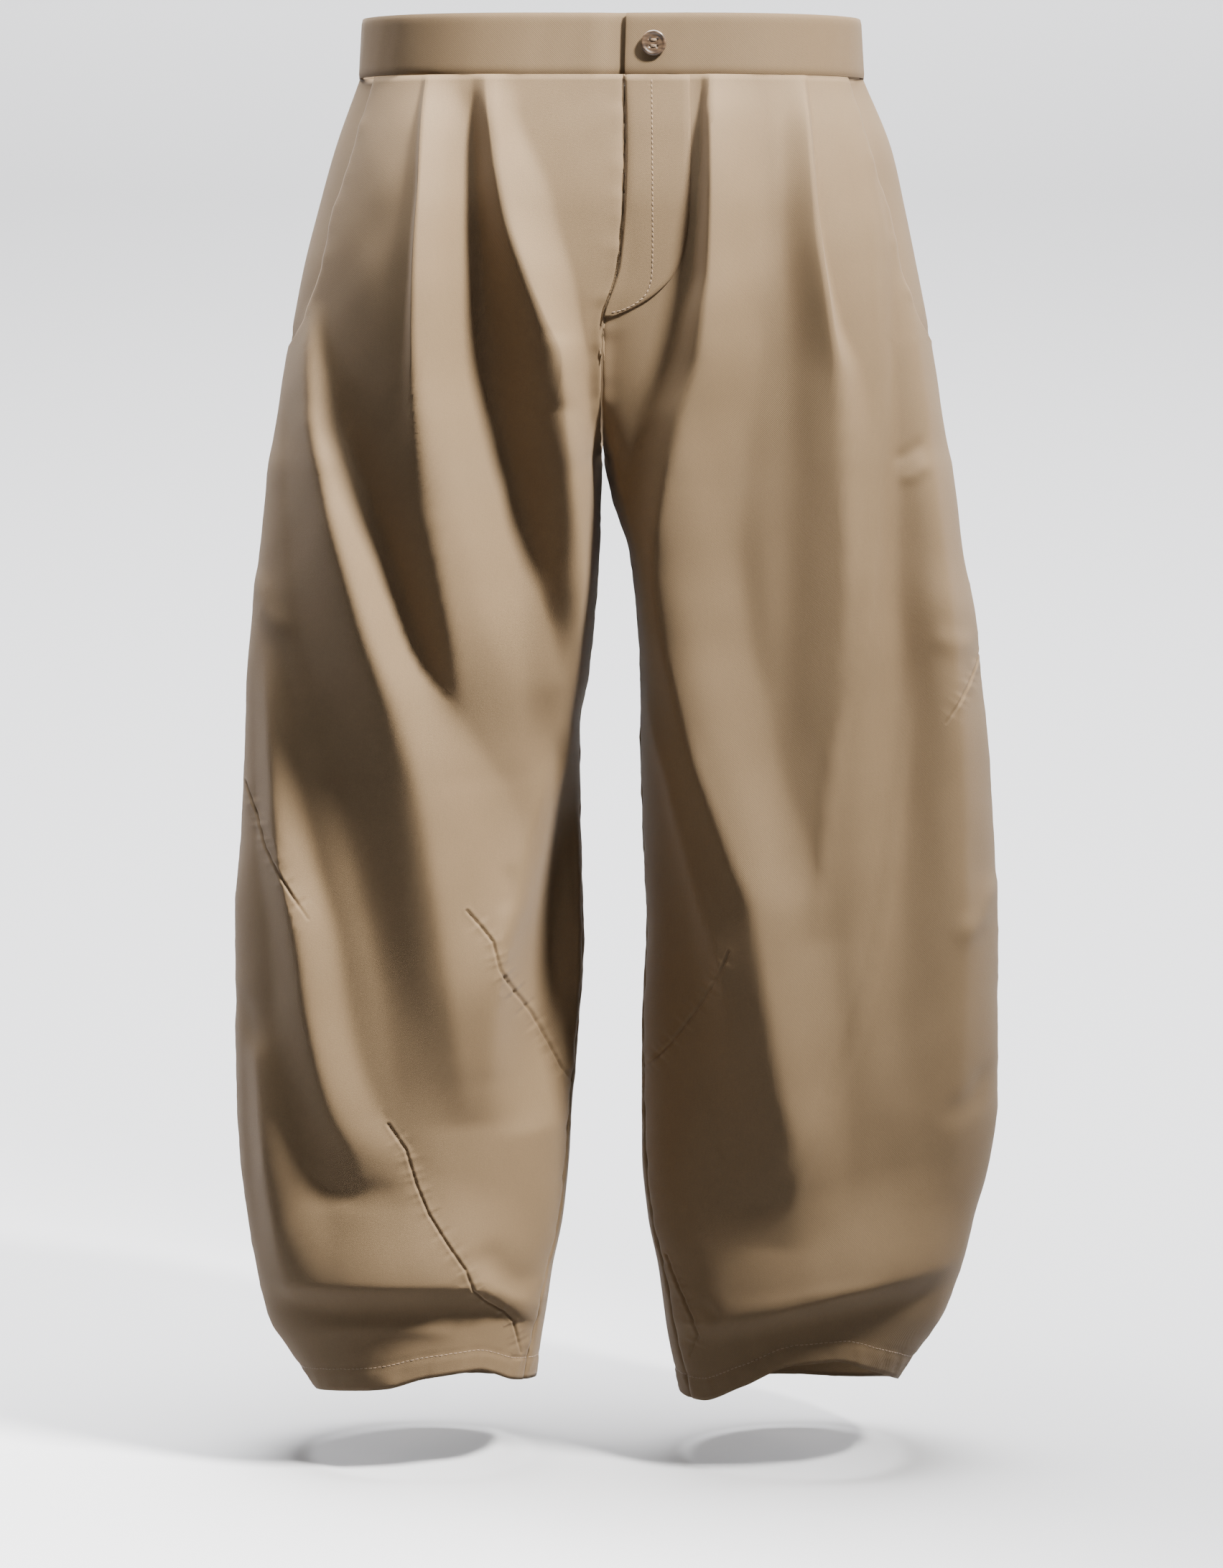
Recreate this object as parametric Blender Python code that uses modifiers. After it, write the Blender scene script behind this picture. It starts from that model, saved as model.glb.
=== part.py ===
"""Barrel leg trousers, worn on a general figure, with the body left out.

Metres, +Z up, +X to the wearer's left, the wearer facing -Y. The origin is the centre of the
waistband ring at half its height. Every panel is a loft: rows run down the leg, and each row is a
ring of four arcs through the side seam, the front, the inner leg and the back. Folds are ridges
laid on that surface, from tables with a row for each section.
"""
import math

import bmesh
import bpy
import numpy as np
from mathutils import Matrix

COLLECTION = "barrel_leg_trousers"

# Cloth and seams
CLOTH = 0.0013
HEM_CLOTH = 0.0026
HEM_DEPTH = 0.022
SEAM_GAP = 0.0003
SKIN_GAP = 0.0006

# Waistband, fly, pocket and button
BAND_HALF_HEIGHT = 0.020
BAND_CLOTH = 0.0026
BAND_PROUD = 0.0008
BAND_TAPER = 0.0025
BAND_LAP = 0.036
BAND_LAP_DROP = 0.0036
BAND_LAP_EASE = 0.018
BAND_STEPS = 26
FLY_CLOTH = 0.0010
FLY_ROWS = 20
FLY_COLUMNS = 9
FLY_CROWDING = 1.5
POCKET_DEPTH_UNDER = 0.0029
POCKET_CLOSES = 0.020
POCKET_CLOTH = 0.0010
POCKET_STEPS = 4
POCKET_UNDER_STEPS = 3
POCKET_END_TURN = 0.03
BUTTON_RADIUS = 0.0085
BUTTON_HEIGHT = 0.0030
BUTTON_FROM_EDGE = 0.017

# Rows and columns of the lofts: share of the row's length at the end of each stretch, and its steps
ROW_STRETCHES = ((0.154, 8), (0.204, 3), (0.34, 7), (0.78, 17), (1.0, 14))
FRONT_COLUMNS = {-1: (7, 2, 3, 2, 5), 1: (8, 1, 5, 2, 4)}
BACK_COLUMNS = 13

# Folds: their height against the tables, where they fade at the seams, how far the seam's tuck reaches
FOLD_RISE = 1.15
WINDOW_OUTER = 0.12
WINDOW_INNER = (0.03, 0.10)
WINDOW_WIDENS = (0.24, 0.42)
SEAM_TUCK = 0.14

TOP = -BAND_HALF_HEIGHT - SEAM_GAP

# Outline seen from the front: height, wearer's right side seam and inner edge, left inner edge and side
OUTLINE_COLUMNS = ("z", "right_side", "right_inner", "left_inner", "left_side")
OUTLINE = (
    (-0.020, -0.1720, 0.0085, 0.0085, 0.1720),
    (-0.068, -0.1893, 0.0090, 0.0090, 0.1918),
    (-0.107, -0.2004, 0.0080, 0.0080, 0.2009),
    (-0.146, -0.2106, 0.0050, 0.0050, 0.2091),
    (-0.186, -0.2188, -0.0060, -0.0060, 0.2173),
    (-0.225, -0.2266, -0.0065, -0.0065, 0.2241),
    (-0.265, -0.2328, -0.0065, -0.0060, 0.2304),
    (-0.284, -0.2365, -0.0062, -0.0040, 0.2350),
    (-0.304, -0.2385, -0.0066, 0.0002, 0.2381),
    (-0.344, -0.2434, -0.0082, 0.0125, 0.2428),
    (-0.384, -0.2488, -0.0115, 0.0170, 0.2515),
    (-0.424, -0.2520, -0.0150, 0.0195, 0.2560),
    (-0.464, -0.2540, -0.0215, 0.0195, 0.2605),
    (-0.524, -0.2570, -0.0213, 0.0213, 0.2650),
    (-0.605, -0.2628, -0.0193, 0.0240, 0.2693),
    (-0.687, -0.2628, -0.0234, 0.0209, 0.2706),
    (-0.728, -0.2625, -0.0270, 0.0209, 0.2705),
    (-0.769, -0.2608, -0.0300, 0.0218, 0.2653),
    (-0.810, -0.2556, -0.0340, 0.0255, 0.2551),
    (-0.851, -0.2495, -0.0415, 0.0335, 0.2460),
    (-0.892, -0.2410, -0.0460, 0.0385, 0.2335),
    (-0.913, -0.2291, -0.0490, 0.0420, 0.2220),
    (-0.945, -0.2080, -0.0540, 0.0480, 0.2010),
)

# Depth seen from the side: height, front and back, how far out the front is foremost, arc fullness, and
# the depth towards which the inner arcs of front and back run
DEPTH_COLUMNS = (
    "z", "front", "back", "crown", "outer_full", "inner_full", "back_full", "front_inner", "back_inner",
)
DEPTH = (
    (-0.020, -0.1110, 0.1110, 0.055, 2.15, 2.0, 2.1, -0.108, 0.112),
    (-0.060, -0.1200, 0.1280, 0.070, 2.20, 2.0, 2.1, -0.116, 0.127),
    (-0.110, -0.1270, 0.1400, 0.085, 2.25, 2.0, 2.2, -0.122, 0.138),
    (-0.160, -0.1290, 0.1440, 0.095, 2.30, 2.0, 2.2, -0.122, 0.138),
    (-0.220, -0.1260, 0.1400, 0.105, 2.30, 2.1, 2.2, -0.112, 0.118),
    (-0.290, -0.1210, 0.1270, 0.115, 2.30, 2.3, 2.2, -0.086, 0.084),
    (-0.370, -0.1160, 0.1120, 0.128, 2.25, 2.3, 2.2, -0.054, 0.045),
    (-0.460, -0.1110, 0.1000, 0.138, 2.20, 2.1, 2.1, -0.026, 0.020),
    (-0.560, -0.1080, 0.0940, 0.142, 2.15, 1.8, 2.1, -0.008, 0.006),
    (-0.660, -0.1040, 0.0930, 0.143, 2.15, 1.8, 2.1, 0.000, 0.000),
    (-0.760, -0.0950, 0.0900, 0.143, 2.15, 1.9, 2.1, 0.000, 0.000),
    (-0.840, -0.0850, 0.0850, 0.141, 2.10, 2.0, 2.1, 0.000, 0.000),
    (-0.900, -0.0780, 0.0800, 0.136, 2.05, 2.0, 2.0, 0.000, 0.000),
    (-0.945, -0.0740, 0.0770, 0.131, 2.00, 2.0, 2.0, 0.000, 0.000),
)

# Rows down the leg: share of length, height at the side seam, height and depth of the inner edge of
# front and back. The inner edges run down the centre seams to the crotch point, then down the inseam.
RUN_COLUMNS = ("share", "side_z", "front_z", "front_y", "back_z", "back_y")
CROTCH_SHARE = 0.34
RUN = (
    (0.000, TOP, TOP, -0.1080, TOP, 0.1120),
    (0.050, -0.066, -0.066, -0.1160, -0.069, 0.1290),
    (0.100, -0.112, -0.112, -0.1220, -0.119, 0.1400),
    (0.150, -0.158, -0.157, -0.1240, -0.166, 0.1420),
    (0.200, -0.204, -0.199, -0.1200, -0.208, 0.1300),
    (0.240, -0.241, -0.231, -0.1120, -0.238, 0.1040),
    (0.270, -0.268, -0.251, -0.0960, -0.256, 0.0680),
    (0.305, -0.298, -0.266, -0.0680, -0.268, 0.0240),
    (0.340, -0.328, -0.276, -0.0300, -0.276, -0.0300),
    (0.380, -0.364, -0.312, -0.0300, -0.312, -0.0300),
    (0.430, -0.410, -0.370, -0.0220, -0.370, -0.0220),
    (0.500, -0.474, -0.451, -0.0110, -0.451, -0.0110),
    (0.600, -0.567, -0.558, 0.0000, -0.558, 0.0000),
    (0.700, -0.660, -0.657, 0.0000, -0.657, 0.0000),
    (0.800, -0.755, -0.754, 0.0000, -0.754, 0.0000),
    (0.900, -0.849, -0.849, 0.0000, -0.849, 0.0000),
    (1.000, -0.944, -0.944, 0.0000, -0.944, 0.0000),
)

# Inseam: it creeps forward towards the hem. Share of length, place round the ring
INSEAM_COLUMNS = ("share", "turn")
INSEAM = (
    (0.34, 1.000),
    (0.60, 0.985),
    (0.85, 0.930),
    (1.00, 0.860),
)

# Hem edge above the last row's height: place round the ring, lift of the right and of the left leg
HEM_COLUMNS = ("turn", "right", "left")
HEM_LIFT = (
    (0.00, 0.010, 0.016),
    (0.10, 0.014, 0.022),
    (0.25, 0.020, 0.034),
    (0.40, 0.026, 0.045),
    (0.52, 0.034, 0.043),
    (0.66, 0.037, 0.026),
    (0.80, 0.026, 0.011),
    (1.00, 0.018, 0.008),
    (1.30, 0.004, 0.002),
    (1.60, 0.000, 0.000),
    (2.00, 0.010, 0.016),
)
HEM_LIFT_FROM = 0.86

# Slanted pocket mouth: height, distance of the cut edge from the middle
POCKET_COLUMNS = ("z", "x")
POCKET_MOUTH = (
    (-0.020, 0.1600),
    (-0.045, 0.1680),
    (-0.083, 0.1790),
    (-0.113, 0.1890),
    (-0.148, 0.1960),
    (-0.166, 0.2030),
    (-0.182, 0.2095),
    (-0.205, 0.2240),
)

# Fly strip: height, distance of its outer edge from the centre seam
FLY_EDGE_COLUMNS = ("z", "reach")
FLY_EDGE = (
    (-0.021, 0.0430),
    (-0.110, 0.0430),
    (-0.135, 0.0415),
    (-0.152, 0.0370),
    (-0.165, 0.0290),
    (-0.174, 0.0180),
    (-0.180, 0.0040),
)

# Folds that run down a leg: height, place of the crest, spread towards -X and +X, height of the crest
DOWN_COLUMNS = ("z", "x", "minus", "plus", "height")
RIGHT_PLEAT = (
    (-0.020, -0.1220, 0.005, 0.020, 0.0020),
    (-0.050, -0.1235, 0.006, 0.028, 0.0050),
    (-0.100, -0.1255, 0.006, 0.032, 0.0065),
    (-0.150, -0.1280, 0.007, 0.038, 0.0070),
    (-0.190, -0.1290, 0.009, 0.042, 0.0060),
    (-0.240, -0.1270, 0.014, 0.046, 0.0040),
    (-0.300, -0.1215, 0.022, 0.050, 0.0000),
)
RIGHT_PLEAT_FLANK = (
    (-0.020, -0.1220, 0.040, 0.022, 0.0020),
    (-0.060, -0.1240, 0.056, 0.030, 0.0100),
    (-0.100, -0.1255, 0.062, 0.034, 0.0160),
    (-0.150, -0.1280, 0.066, 0.040, 0.0200),
    (-0.200, -0.1290, 0.064, 0.044, 0.0230),
    (-0.250, -0.1265, 0.056, 0.050, 0.0250),
    (-0.300, -0.1215, 0.044, 0.060, 0.0250),
    (-0.360, -0.1120, 0.034, 0.066, 0.0220),
    (-0.412, -0.1040, 0.028, 0.070, 0.0150),
    (-0.450, -0.1010, 0.026, 0.070, 0.0070),
    (-0.490, -0.1000, 0.026, 0.070, 0.0000),
)
RIGHT_PLEAT_VALLEY = (
    (-0.030, -0.0935, 0.016, 0.010, 0.0000),
    (-0.060, -0.0910, 0.020, 0.012, -0.0040),
    (-0.120, -0.0880, 0.026, 0.022, -0.0080),
    (-0.186, -0.0850, 0.032, 0.040, -0.0110),
    (-0.251, -0.0756, 0.040, 0.044, -0.0130),
    (-0.315, -0.0565, 0.046, 0.034, -0.0120),
    (-0.372, -0.0440, 0.046, 0.024, -0.0080),
    (-0.428, -0.0330, 0.040, 0.016, 0.0000),
)
RIGHT_THIGH_FOLD = (
    (-0.190, -0.0340, 0.040, 0.014, 0.0000),
    (-0.215, -0.0325, 0.044, 0.015, 0.0090),
    (-0.240, -0.0300, 0.046, 0.016, 0.0170),
    (-0.285, -0.0250, 0.048, 0.017, 0.0210),
    (-0.350, -0.0200, 0.046, 0.016, 0.0210),
    (-0.410, -0.0230, 0.038, 0.016, 0.0150),
    (-0.450, -0.0270, 0.032, 0.016, 0.0070),
    (-0.480, -0.0300, 0.030, 0.016, 0.0000),
)
RIGHT_INNER_FOLD = (
    (-0.020, -0.0830, 0.010, 0.014, 0.0030),
    (-0.050, -0.0805, 0.012, 0.020, 0.0100),
    (-0.105, -0.0720, 0.018, 0.034, 0.0150),
    (-0.150, -0.0575, 0.028, 0.032, 0.0190),
    (-0.185, -0.0430, 0.038, 0.024, 0.0190),
    (-0.210, -0.0330, 0.044, 0.018, 0.0120),
    (-0.240, -0.0290, 0.046, 0.015, 0.0000),
)
RIGHT_POCKET_FOLD = (
    (-0.170, -0.2020, 0.012, 0.014, 0.0000),
    (-0.200, -0.2040, 0.015, 0.017, 0.0120),
    (-0.250, -0.2010, 0.020, 0.022, 0.0200),
    (-0.292, -0.1930, 0.028, 0.030, 0.0240),
    (-0.348, -0.1770, 0.040, 0.034, 0.0260),
    (-0.396, -0.1615, 0.050, 0.036, 0.0260),
    (-0.450, -0.1420, 0.056, 0.044, 0.0230),
    (-0.500, -0.1280, 0.058, 0.060, 0.0210),
    (-0.560, -0.1180, 0.054, 0.070, 0.0200),
    (-0.620, -0.1100, 0.050, 0.070, 0.0180),
    (-0.680, -0.1030, 0.048, 0.062, 0.0110),
    (-0.730, -0.0980, 0.044, 0.060, 0.0000),
)
RIGHT_OUTER_FOLD = (
    (-0.400, -0.2350, 0.010, 0.014, 0.0000),
    (-0.450, -0.2330, 0.012, 0.020, 0.0100),
    (-0.500, -0.2300, 0.014, 0.024, 0.0150),
    (-0.550, -0.2250, 0.018, 0.028, 0.0180),
    (-0.600, -0.2140, 0.022, 0.030, 0.0180),
    (-0.650, -0.2070, 0.026, 0.030, 0.0170),
    (-0.690, -0.1990, 0.030, 0.032, 0.0150),
    (-0.720, -0.1900, 0.032, 0.036, 0.0120),
    (-0.750, -0.1750, 0.034, 0.044, 0.0070),
    (-0.785, -0.1650, 0.034, 0.050, 0.0000),
)
RIGHT_SHIN_FOLD = (
    (-0.660, -0.2440, 0.010, 0.030, 0.0000),
    (-0.700, -0.2420, 0.012, 0.034, 0.0100),
    (-0.750, -0.2390, 0.014, 0.040, 0.0150),
    (-0.800, -0.2330, 0.016, 0.044, 0.0120),
    (-0.840, -0.2260, 0.018, 0.040, 0.0050),
    (-0.860, -0.2200, 0.018, 0.040, 0.0000),
)
RIGHT_KNEE_EDGE = (
    (-0.430, -0.0240, 0.030, 0.010, 0.0000),
    (-0.465, -0.0270, 0.034, 0.012, 0.0070),
    (-0.500, -0.0360, 0.038, 0.018, 0.0120),
    (-0.540, -0.0470, 0.040, 0.024, 0.0150),
    (-0.580, -0.0590, 0.042, 0.028, 0.0160),
    (-0.610, -0.0700, 0.042, 0.032, 0.0140),
    (-0.650, -0.0780, 0.042, 0.036, 0.0080),
    (-0.700, -0.0800, 0.042, 0.036, 0.0000),
)
RIGHT_KNEE_HOLLOW = (
    (-0.460, -0.0320, 0.012, 0.014, 0.0000),
    (-0.500, -0.0340, 0.016, 0.018, -0.0130),
    (-0.535, -0.0370, 0.022, 0.022, -0.0250),
    (-0.575, -0.0400, 0.028, 0.026, -0.0330),
    (-0.620, -0.0430, 0.036, 0.028, -0.0340),
    (-0.680, -0.0460, 0.038, 0.030, -0.0220),
    (-0.740, -0.0480, 0.038, 0.030, 0.0000),
)
LEFT_FLY_FOLD = (
    (-0.020, 0.0655, 0.007, 0.030, 0.0040),
    (-0.050, 0.0660, 0.008, 0.036, 0.0120),
    (-0.090, 0.0665, 0.010, 0.038, 0.0160),
    (-0.150, 0.0650, 0.013, 0.040, 0.0180),
    (-0.180, 0.0620, 0.018, 0.042, 0.0200),
    (-0.205, 0.0590, 0.022, 0.044, 0.0210),
    (-0.250, 0.0470, 0.028, 0.048, 0.0210),
    (-0.300, 0.0370, 0.030, 0.054, 0.0220),
    (-0.340, 0.0310, 0.024, 0.058, 0.0240),
    (-0.390, 0.0350, 0.022, 0.060, 0.0250),
    (-0.430, 0.0450, 0.026, 0.060, 0.0250),
    (-0.476, 0.0570, 0.032, 0.058, 0.0240),
    (-0.540, 0.0810, 0.040, 0.055, 0.0220),
    (-0.580, 0.0970, 0.046, 0.052, 0.0210),
    (-0.650, 0.1080, 0.050, 0.050, 0.0190),
    (-0.700, 0.1160, 0.054, 0.046, 0.0180),
    (-0.750, 0.1260, 0.056, 0.038, 0.0140),
    (-0.785, 0.1250, 0.052, 0.036, 0.0070),
    (-0.815, 0.1150, 0.046, 0.034, 0.0000),
)
LEFT_PLEAT = (
    (-0.020, 0.1270, 0.014, 0.004, 0.0020),
    (-0.050, 0.1285, 0.017, 0.005, 0.0080),
    (-0.121, 0.1330, 0.022, 0.006, 0.0130),
    (-0.160, 0.1385, 0.028, 0.008, 0.0140),
    (-0.186, 0.1424, 0.032, 0.011, 0.0130),
    (-0.220, 0.1480, 0.038, 0.020, 0.0110),
    (-0.300, 0.1530, 0.044, 0.030, 0.0090),
    (-0.380, 0.1550, 0.044, 0.036, 0.0080),
    (-0.460, 0.1480, 0.040, 0.040, 0.0070),
    (-0.540, 0.1420, 0.036, 0.044, 0.0050),
    (-0.600, 0.1400, 0.034, 0.046, 0.0000),
)
LEFT_OUTER_FOLD = (
    (-0.090, 0.1930, 0.026, 0.016, 0.0000),
    (-0.150, 0.2000, 0.030, 0.018, 0.0050),
    (-0.220, 0.2090, 0.034, 0.020, 0.0100),
    (-0.300, 0.2190, 0.038, 0.022, 0.0130),
    (-0.380, 0.2290, 0.042, 0.024, 0.0140),
    (-0.460, 0.2360, 0.046, 0.026, 0.0140),
    (-0.540, 0.2400, 0.050, 0.028, 0.0140),
    (-0.620, 0.2410, 0.054, 0.030, 0.0120),
    (-0.700, 0.2390, 0.056, 0.030, 0.0080),
    (-0.790, 0.2320, 0.054, 0.030, 0.0000),
)
LEFT_OUTER_VALLEY = (
    (-0.060, 0.1800, 0.010, 0.022, 0.0000),
    (-0.120, 0.1860, 0.012, 0.026, -0.0050),
    (-0.200, 0.1900, 0.014, 0.030, -0.0080),
    (-0.300, 0.1920, 0.020, 0.036, -0.0100),
    (-0.370, 0.1930, 0.026, 0.040, -0.0110),
    (-0.460, 0.1960, 0.032, 0.044, -0.0100),
    (-0.550, 0.1980, 0.036, 0.046, -0.0080),
    (-0.640, 0.1980, 0.036, 0.046, -0.0050),
    (-0.720, 0.1960, 0.036, 0.046, 0.0000),
)
LEFT_KNEE_EDGE = (
    (-0.400, 0.0210, 0.010, 0.030, 0.0000),
    (-0.445, 0.0240, 0.012, 0.034, 0.0070),
    (-0.490, 0.0360, 0.018, 0.038, 0.0120),
    (-0.530, 0.0460, 0.024, 0.040, 0.0150),
    (-0.570, 0.0580, 0.028, 0.042, 0.0150),
    (-0.610, 0.0710, 0.034, 0.042, 0.0130),
    (-0.650, 0.0780, 0.036, 0.042, 0.0070),
    (-0.700, 0.0800, 0.036, 0.042, 0.0000),
)

# Folds that run across a leg: place along X, height of the crest, spread up and down, crest height
ACROSS_COLUMNS = ("x", "z", "up", "down", "height")
RIGHT_ANKLE_ROLL = (
    (-0.262, -0.850, 0.060, 0.020, 0.0000),
    (-0.235, -0.846, 0.070, 0.022, 0.0070),
    (-0.200, -0.842, 0.080, 0.024, 0.0120),
    (-0.160, -0.840, 0.085, 0.024, 0.0140),
    (-0.120, -0.840, 0.080, 0.024, 0.0130),
    (-0.085, -0.846, 0.075, 0.022, 0.0100),
    (-0.055, -0.862, 0.070, 0.020, 0.0070),
    (-0.030, -0.872, 0.065, 0.018, 0.0000),
)
LEFT_ANKLE_ROLL = (
    (0.020, -0.885, 0.070, 0.018, 0.0000),
    (0.050, -0.876, 0.075, 0.020, 0.0060),
    (0.080, -0.868, 0.080, 0.022, 0.0110),
    (0.120, -0.856, 0.080, 0.024, 0.0150),
    (0.160, -0.844, 0.080, 0.026, 0.0160),
    (0.200, -0.836, 0.080, 0.026, 0.0140),
    (0.235, -0.832, 0.075, 0.024, 0.0080),
    (0.265, -0.830, 0.070, 0.022, 0.0000),
)

# Back folds: under the seat, behind the knee and above the hem
BACK_SEAT_FOLD = (
    (0.010, -0.300, 0.030, 0.028, 0.0000),
    (0.045, -0.305, 0.034, 0.030, 0.0080),
    (0.090, -0.318, 0.036, 0.032, 0.0100),
    (0.140, -0.340, 0.034, 0.030, 0.0080),
    (0.190, -0.365, 0.030, 0.026, 0.0040),
    (0.225, -0.380, 0.028, 0.024, 0.0000),
)
BACK_KNEE_FOLD = (
    (0.030, -0.560, 0.034, 0.030, 0.0000),
    (0.070, -0.552, 0.038, 0.034, 0.0080),
    (0.120, -0.540, 0.040, 0.036, 0.0110),
    (0.175, -0.522, 0.038, 0.034, 0.0080),
    (0.225, -0.505, 0.032, 0.030, 0.0000),
)
BACK_CALF_FOLD = (
    (0.045, -0.700, 0.036, 0.034, 0.0000),
    (0.090, -0.712, 0.042, 0.038, 0.0080),
    (0.140, -0.728, 0.044, 0.040, 0.0110),
    (0.190, -0.745, 0.040, 0.036, 0.0070),
    (0.235, -0.757, 0.034, 0.030, 0.0000),
)
BACK_ANKLE_ROLL = (
    (0.040, -0.866, 0.070, 0.024, 0.0000),
    (0.080, -0.860, 0.080, 0.028, 0.0120),
    (0.130, -0.852, 0.090, 0.030, 0.0160),
    (0.180, -0.846, 0.085, 0.030, 0.0130),
    (0.235, -0.842, 0.070, 0.026, 0.0000),
)

# Of each fold: sharpness of its crest, lean of the crest as a share of its height, sharpness of its foot
FRONT_DOWN = {
    -1: (
        (RIGHT_PLEAT, 1.2, -0.30, 2.0),
        (RIGHT_PLEAT_FLANK, 1.3, 0.0, 1.5),
        (RIGHT_PLEAT_VALLEY, 1.6, 0.0, 1.6),
        (RIGHT_THIGH_FOLD, 1.5, 0.0, 1.6),
        (RIGHT_INNER_FOLD, 1.4, 0.0, 1.6),
        (RIGHT_POCKET_FOLD, 1.4, 0.0, 1.6),
        (RIGHT_OUTER_FOLD, 1.4, 0.0, 1.6),
        (RIGHT_SHIN_FOLD, 1.5, 0.0, 2.0),
        (RIGHT_KNEE_EDGE, 1.1, 0.0, 2.0),
        (RIGHT_KNEE_HOLLOW, 1.8, 0.0, 1.8),
    ),
    1: (
        (LEFT_FLY_FOLD, 1.4, -0.10, 1.6),
        (LEFT_PLEAT, 1.2, 0.25, 1.8),
        (LEFT_OUTER_FOLD, 1.4, 0.0, 1.6),
        (LEFT_OUTER_VALLEY, 1.6, 0.0, 1.8),
        (LEFT_KNEE_EDGE, 1.1, 0.0, 2.0),
    ),
}
FRONT_ACROSS = {-1: ((RIGHT_ANKLE_ROLL, 1.5),), 1: ((LEFT_ANKLE_ROLL, 1.5),)}
BACK_ACROSS = (
    (BACK_SEAT_FOLD, 1.5),
    (BACK_KNEE_FOLD, 1.5),
    (BACK_CALF_FOLD, 1.5),
    (BACK_ANKLE_ROLL, 1.5),
)

# Columns of a front that follow a fold: its table, and how far beside the crest the column runs
GUIDES = {
    -1: ((RIGHT_PLEAT, "minus"), (RIGHT_PLEAT, None), (RIGHT_INNER_FOLD, "minus"),
         (RIGHT_INNER_FOLD, None)),
    1: ((LEFT_PLEAT, "plus"), (LEFT_PLEAT, None), (LEFT_FLY_FOLD, None), (LEFT_FLY_FOLD, "minus")),
}
GUIDES_END = (0.20, 0.34)


def column(rows, names, name):
    """One named column of a table as an array."""
    return np.array([row[names.index(name)] for row in rows], dtype=float)


def smooth(at, stations, values):
    """Read a table between its stations along a curve that never overshoots them."""
    step = np.diff(stations)
    slope = np.diff(values) / step
    tangent = np.zeros(len(values))
    tangent[0] = slope[0]
    tangent[-1] = slope[-1]
    same_way = slope[:-1] * slope[1:] > 0.0
    before = slope[:-1][same_way]
    after = slope[1:][same_way]
    tangent[1:-1][same_way] = 2.0 * before * after / (before + after)
    at = np.clip(at, stations[0], stations[-1])
    left = np.clip(np.searchsorted(stations, at, side="right") - 1, 0, len(step) - 1)
    width = step[left]
    s = (at - stations[left]) / width
    return (
        (1 + 2 * s) * (1 - s) ** 2 * values[left]
        + s * (1 - s) ** 2 * width * tangent[left]
        + s * s * (3 - 2 * s) * values[left + 1]
        + s * s * (s - 1) * width * tangent[left + 1]
    )


def read(rows, names, name, at):
    """Read a named column of a table at values of its first column, in either order."""
    stations = column(rows, names, names[0])
    values = column(rows, names, name)
    if stations[0] > stations[-1]:
        stations = stations[::-1]
        values = values[::-1]
    return smooth(at, stations, values)


def ease(t):
    """Smooth step from 0 to 1."""
    t = np.clip(t, 0.0, 1.0)
    return t * t * (3 - 2 * t)


def fold(across, along, rows, names, power=1.5, foot=2.0):
    """Height of one ridge: highest on its crest line, fading out over its spread on each side."""
    place = read(rows, names, names[1], along)
    low = read(rows, names, names[2], along)
    high = read(rows, names, names[3], along)
    if names is ACROSS_COLUMNS:
        low, high = high, low
    height = read(rows, names, names[4], along)
    offset = across - place
    share = np.clip(np.abs(offset) / np.where(offset < 0, low, high), 0.0, 1.0)
    first = rows[0][0]
    last = rows[-1][0]
    inside = (along >= min(first, last)) & (along <= max(first, last))
    return np.where(inside, FOLD_RISE * height * (1 - share ** power) ** foot, 0.0)


def folds(leg, half, x, z):
    """Sum of the ridges on one side of one leg, and how far their crests lean sideways."""
    total = np.zeros(np.broadcast(x, z).shape)
    lean = np.zeros(total.shape)
    if half == "front":
        for rows, power, leans, foot in FRONT_DOWN[leg]:
            height = fold(x, z, rows, DOWN_COLUMNS, power, foot)
            total = total + height
            lean = lean + leans * height
        for rows, power in FRONT_ACROSS[leg]:
            total = total + fold(z, x, rows, ACROSS_COLUMNS, power)
    else:
        for rows, power in BACK_ACROSS:
            total = total + fold(z, leg * x, rows, ACROSS_COLUMNS, power)
    return total, lean


def seam_turn(share):
    """Place of the inseam round the ring: 0 side, 0.5 front, 1 inner leg, 1.5 back, 2 side."""
    return np.where(share <= CROTCH_SHARE, 1.0, read(INSEAM, INSEAM_COLUMNS, "turn", share))


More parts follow.
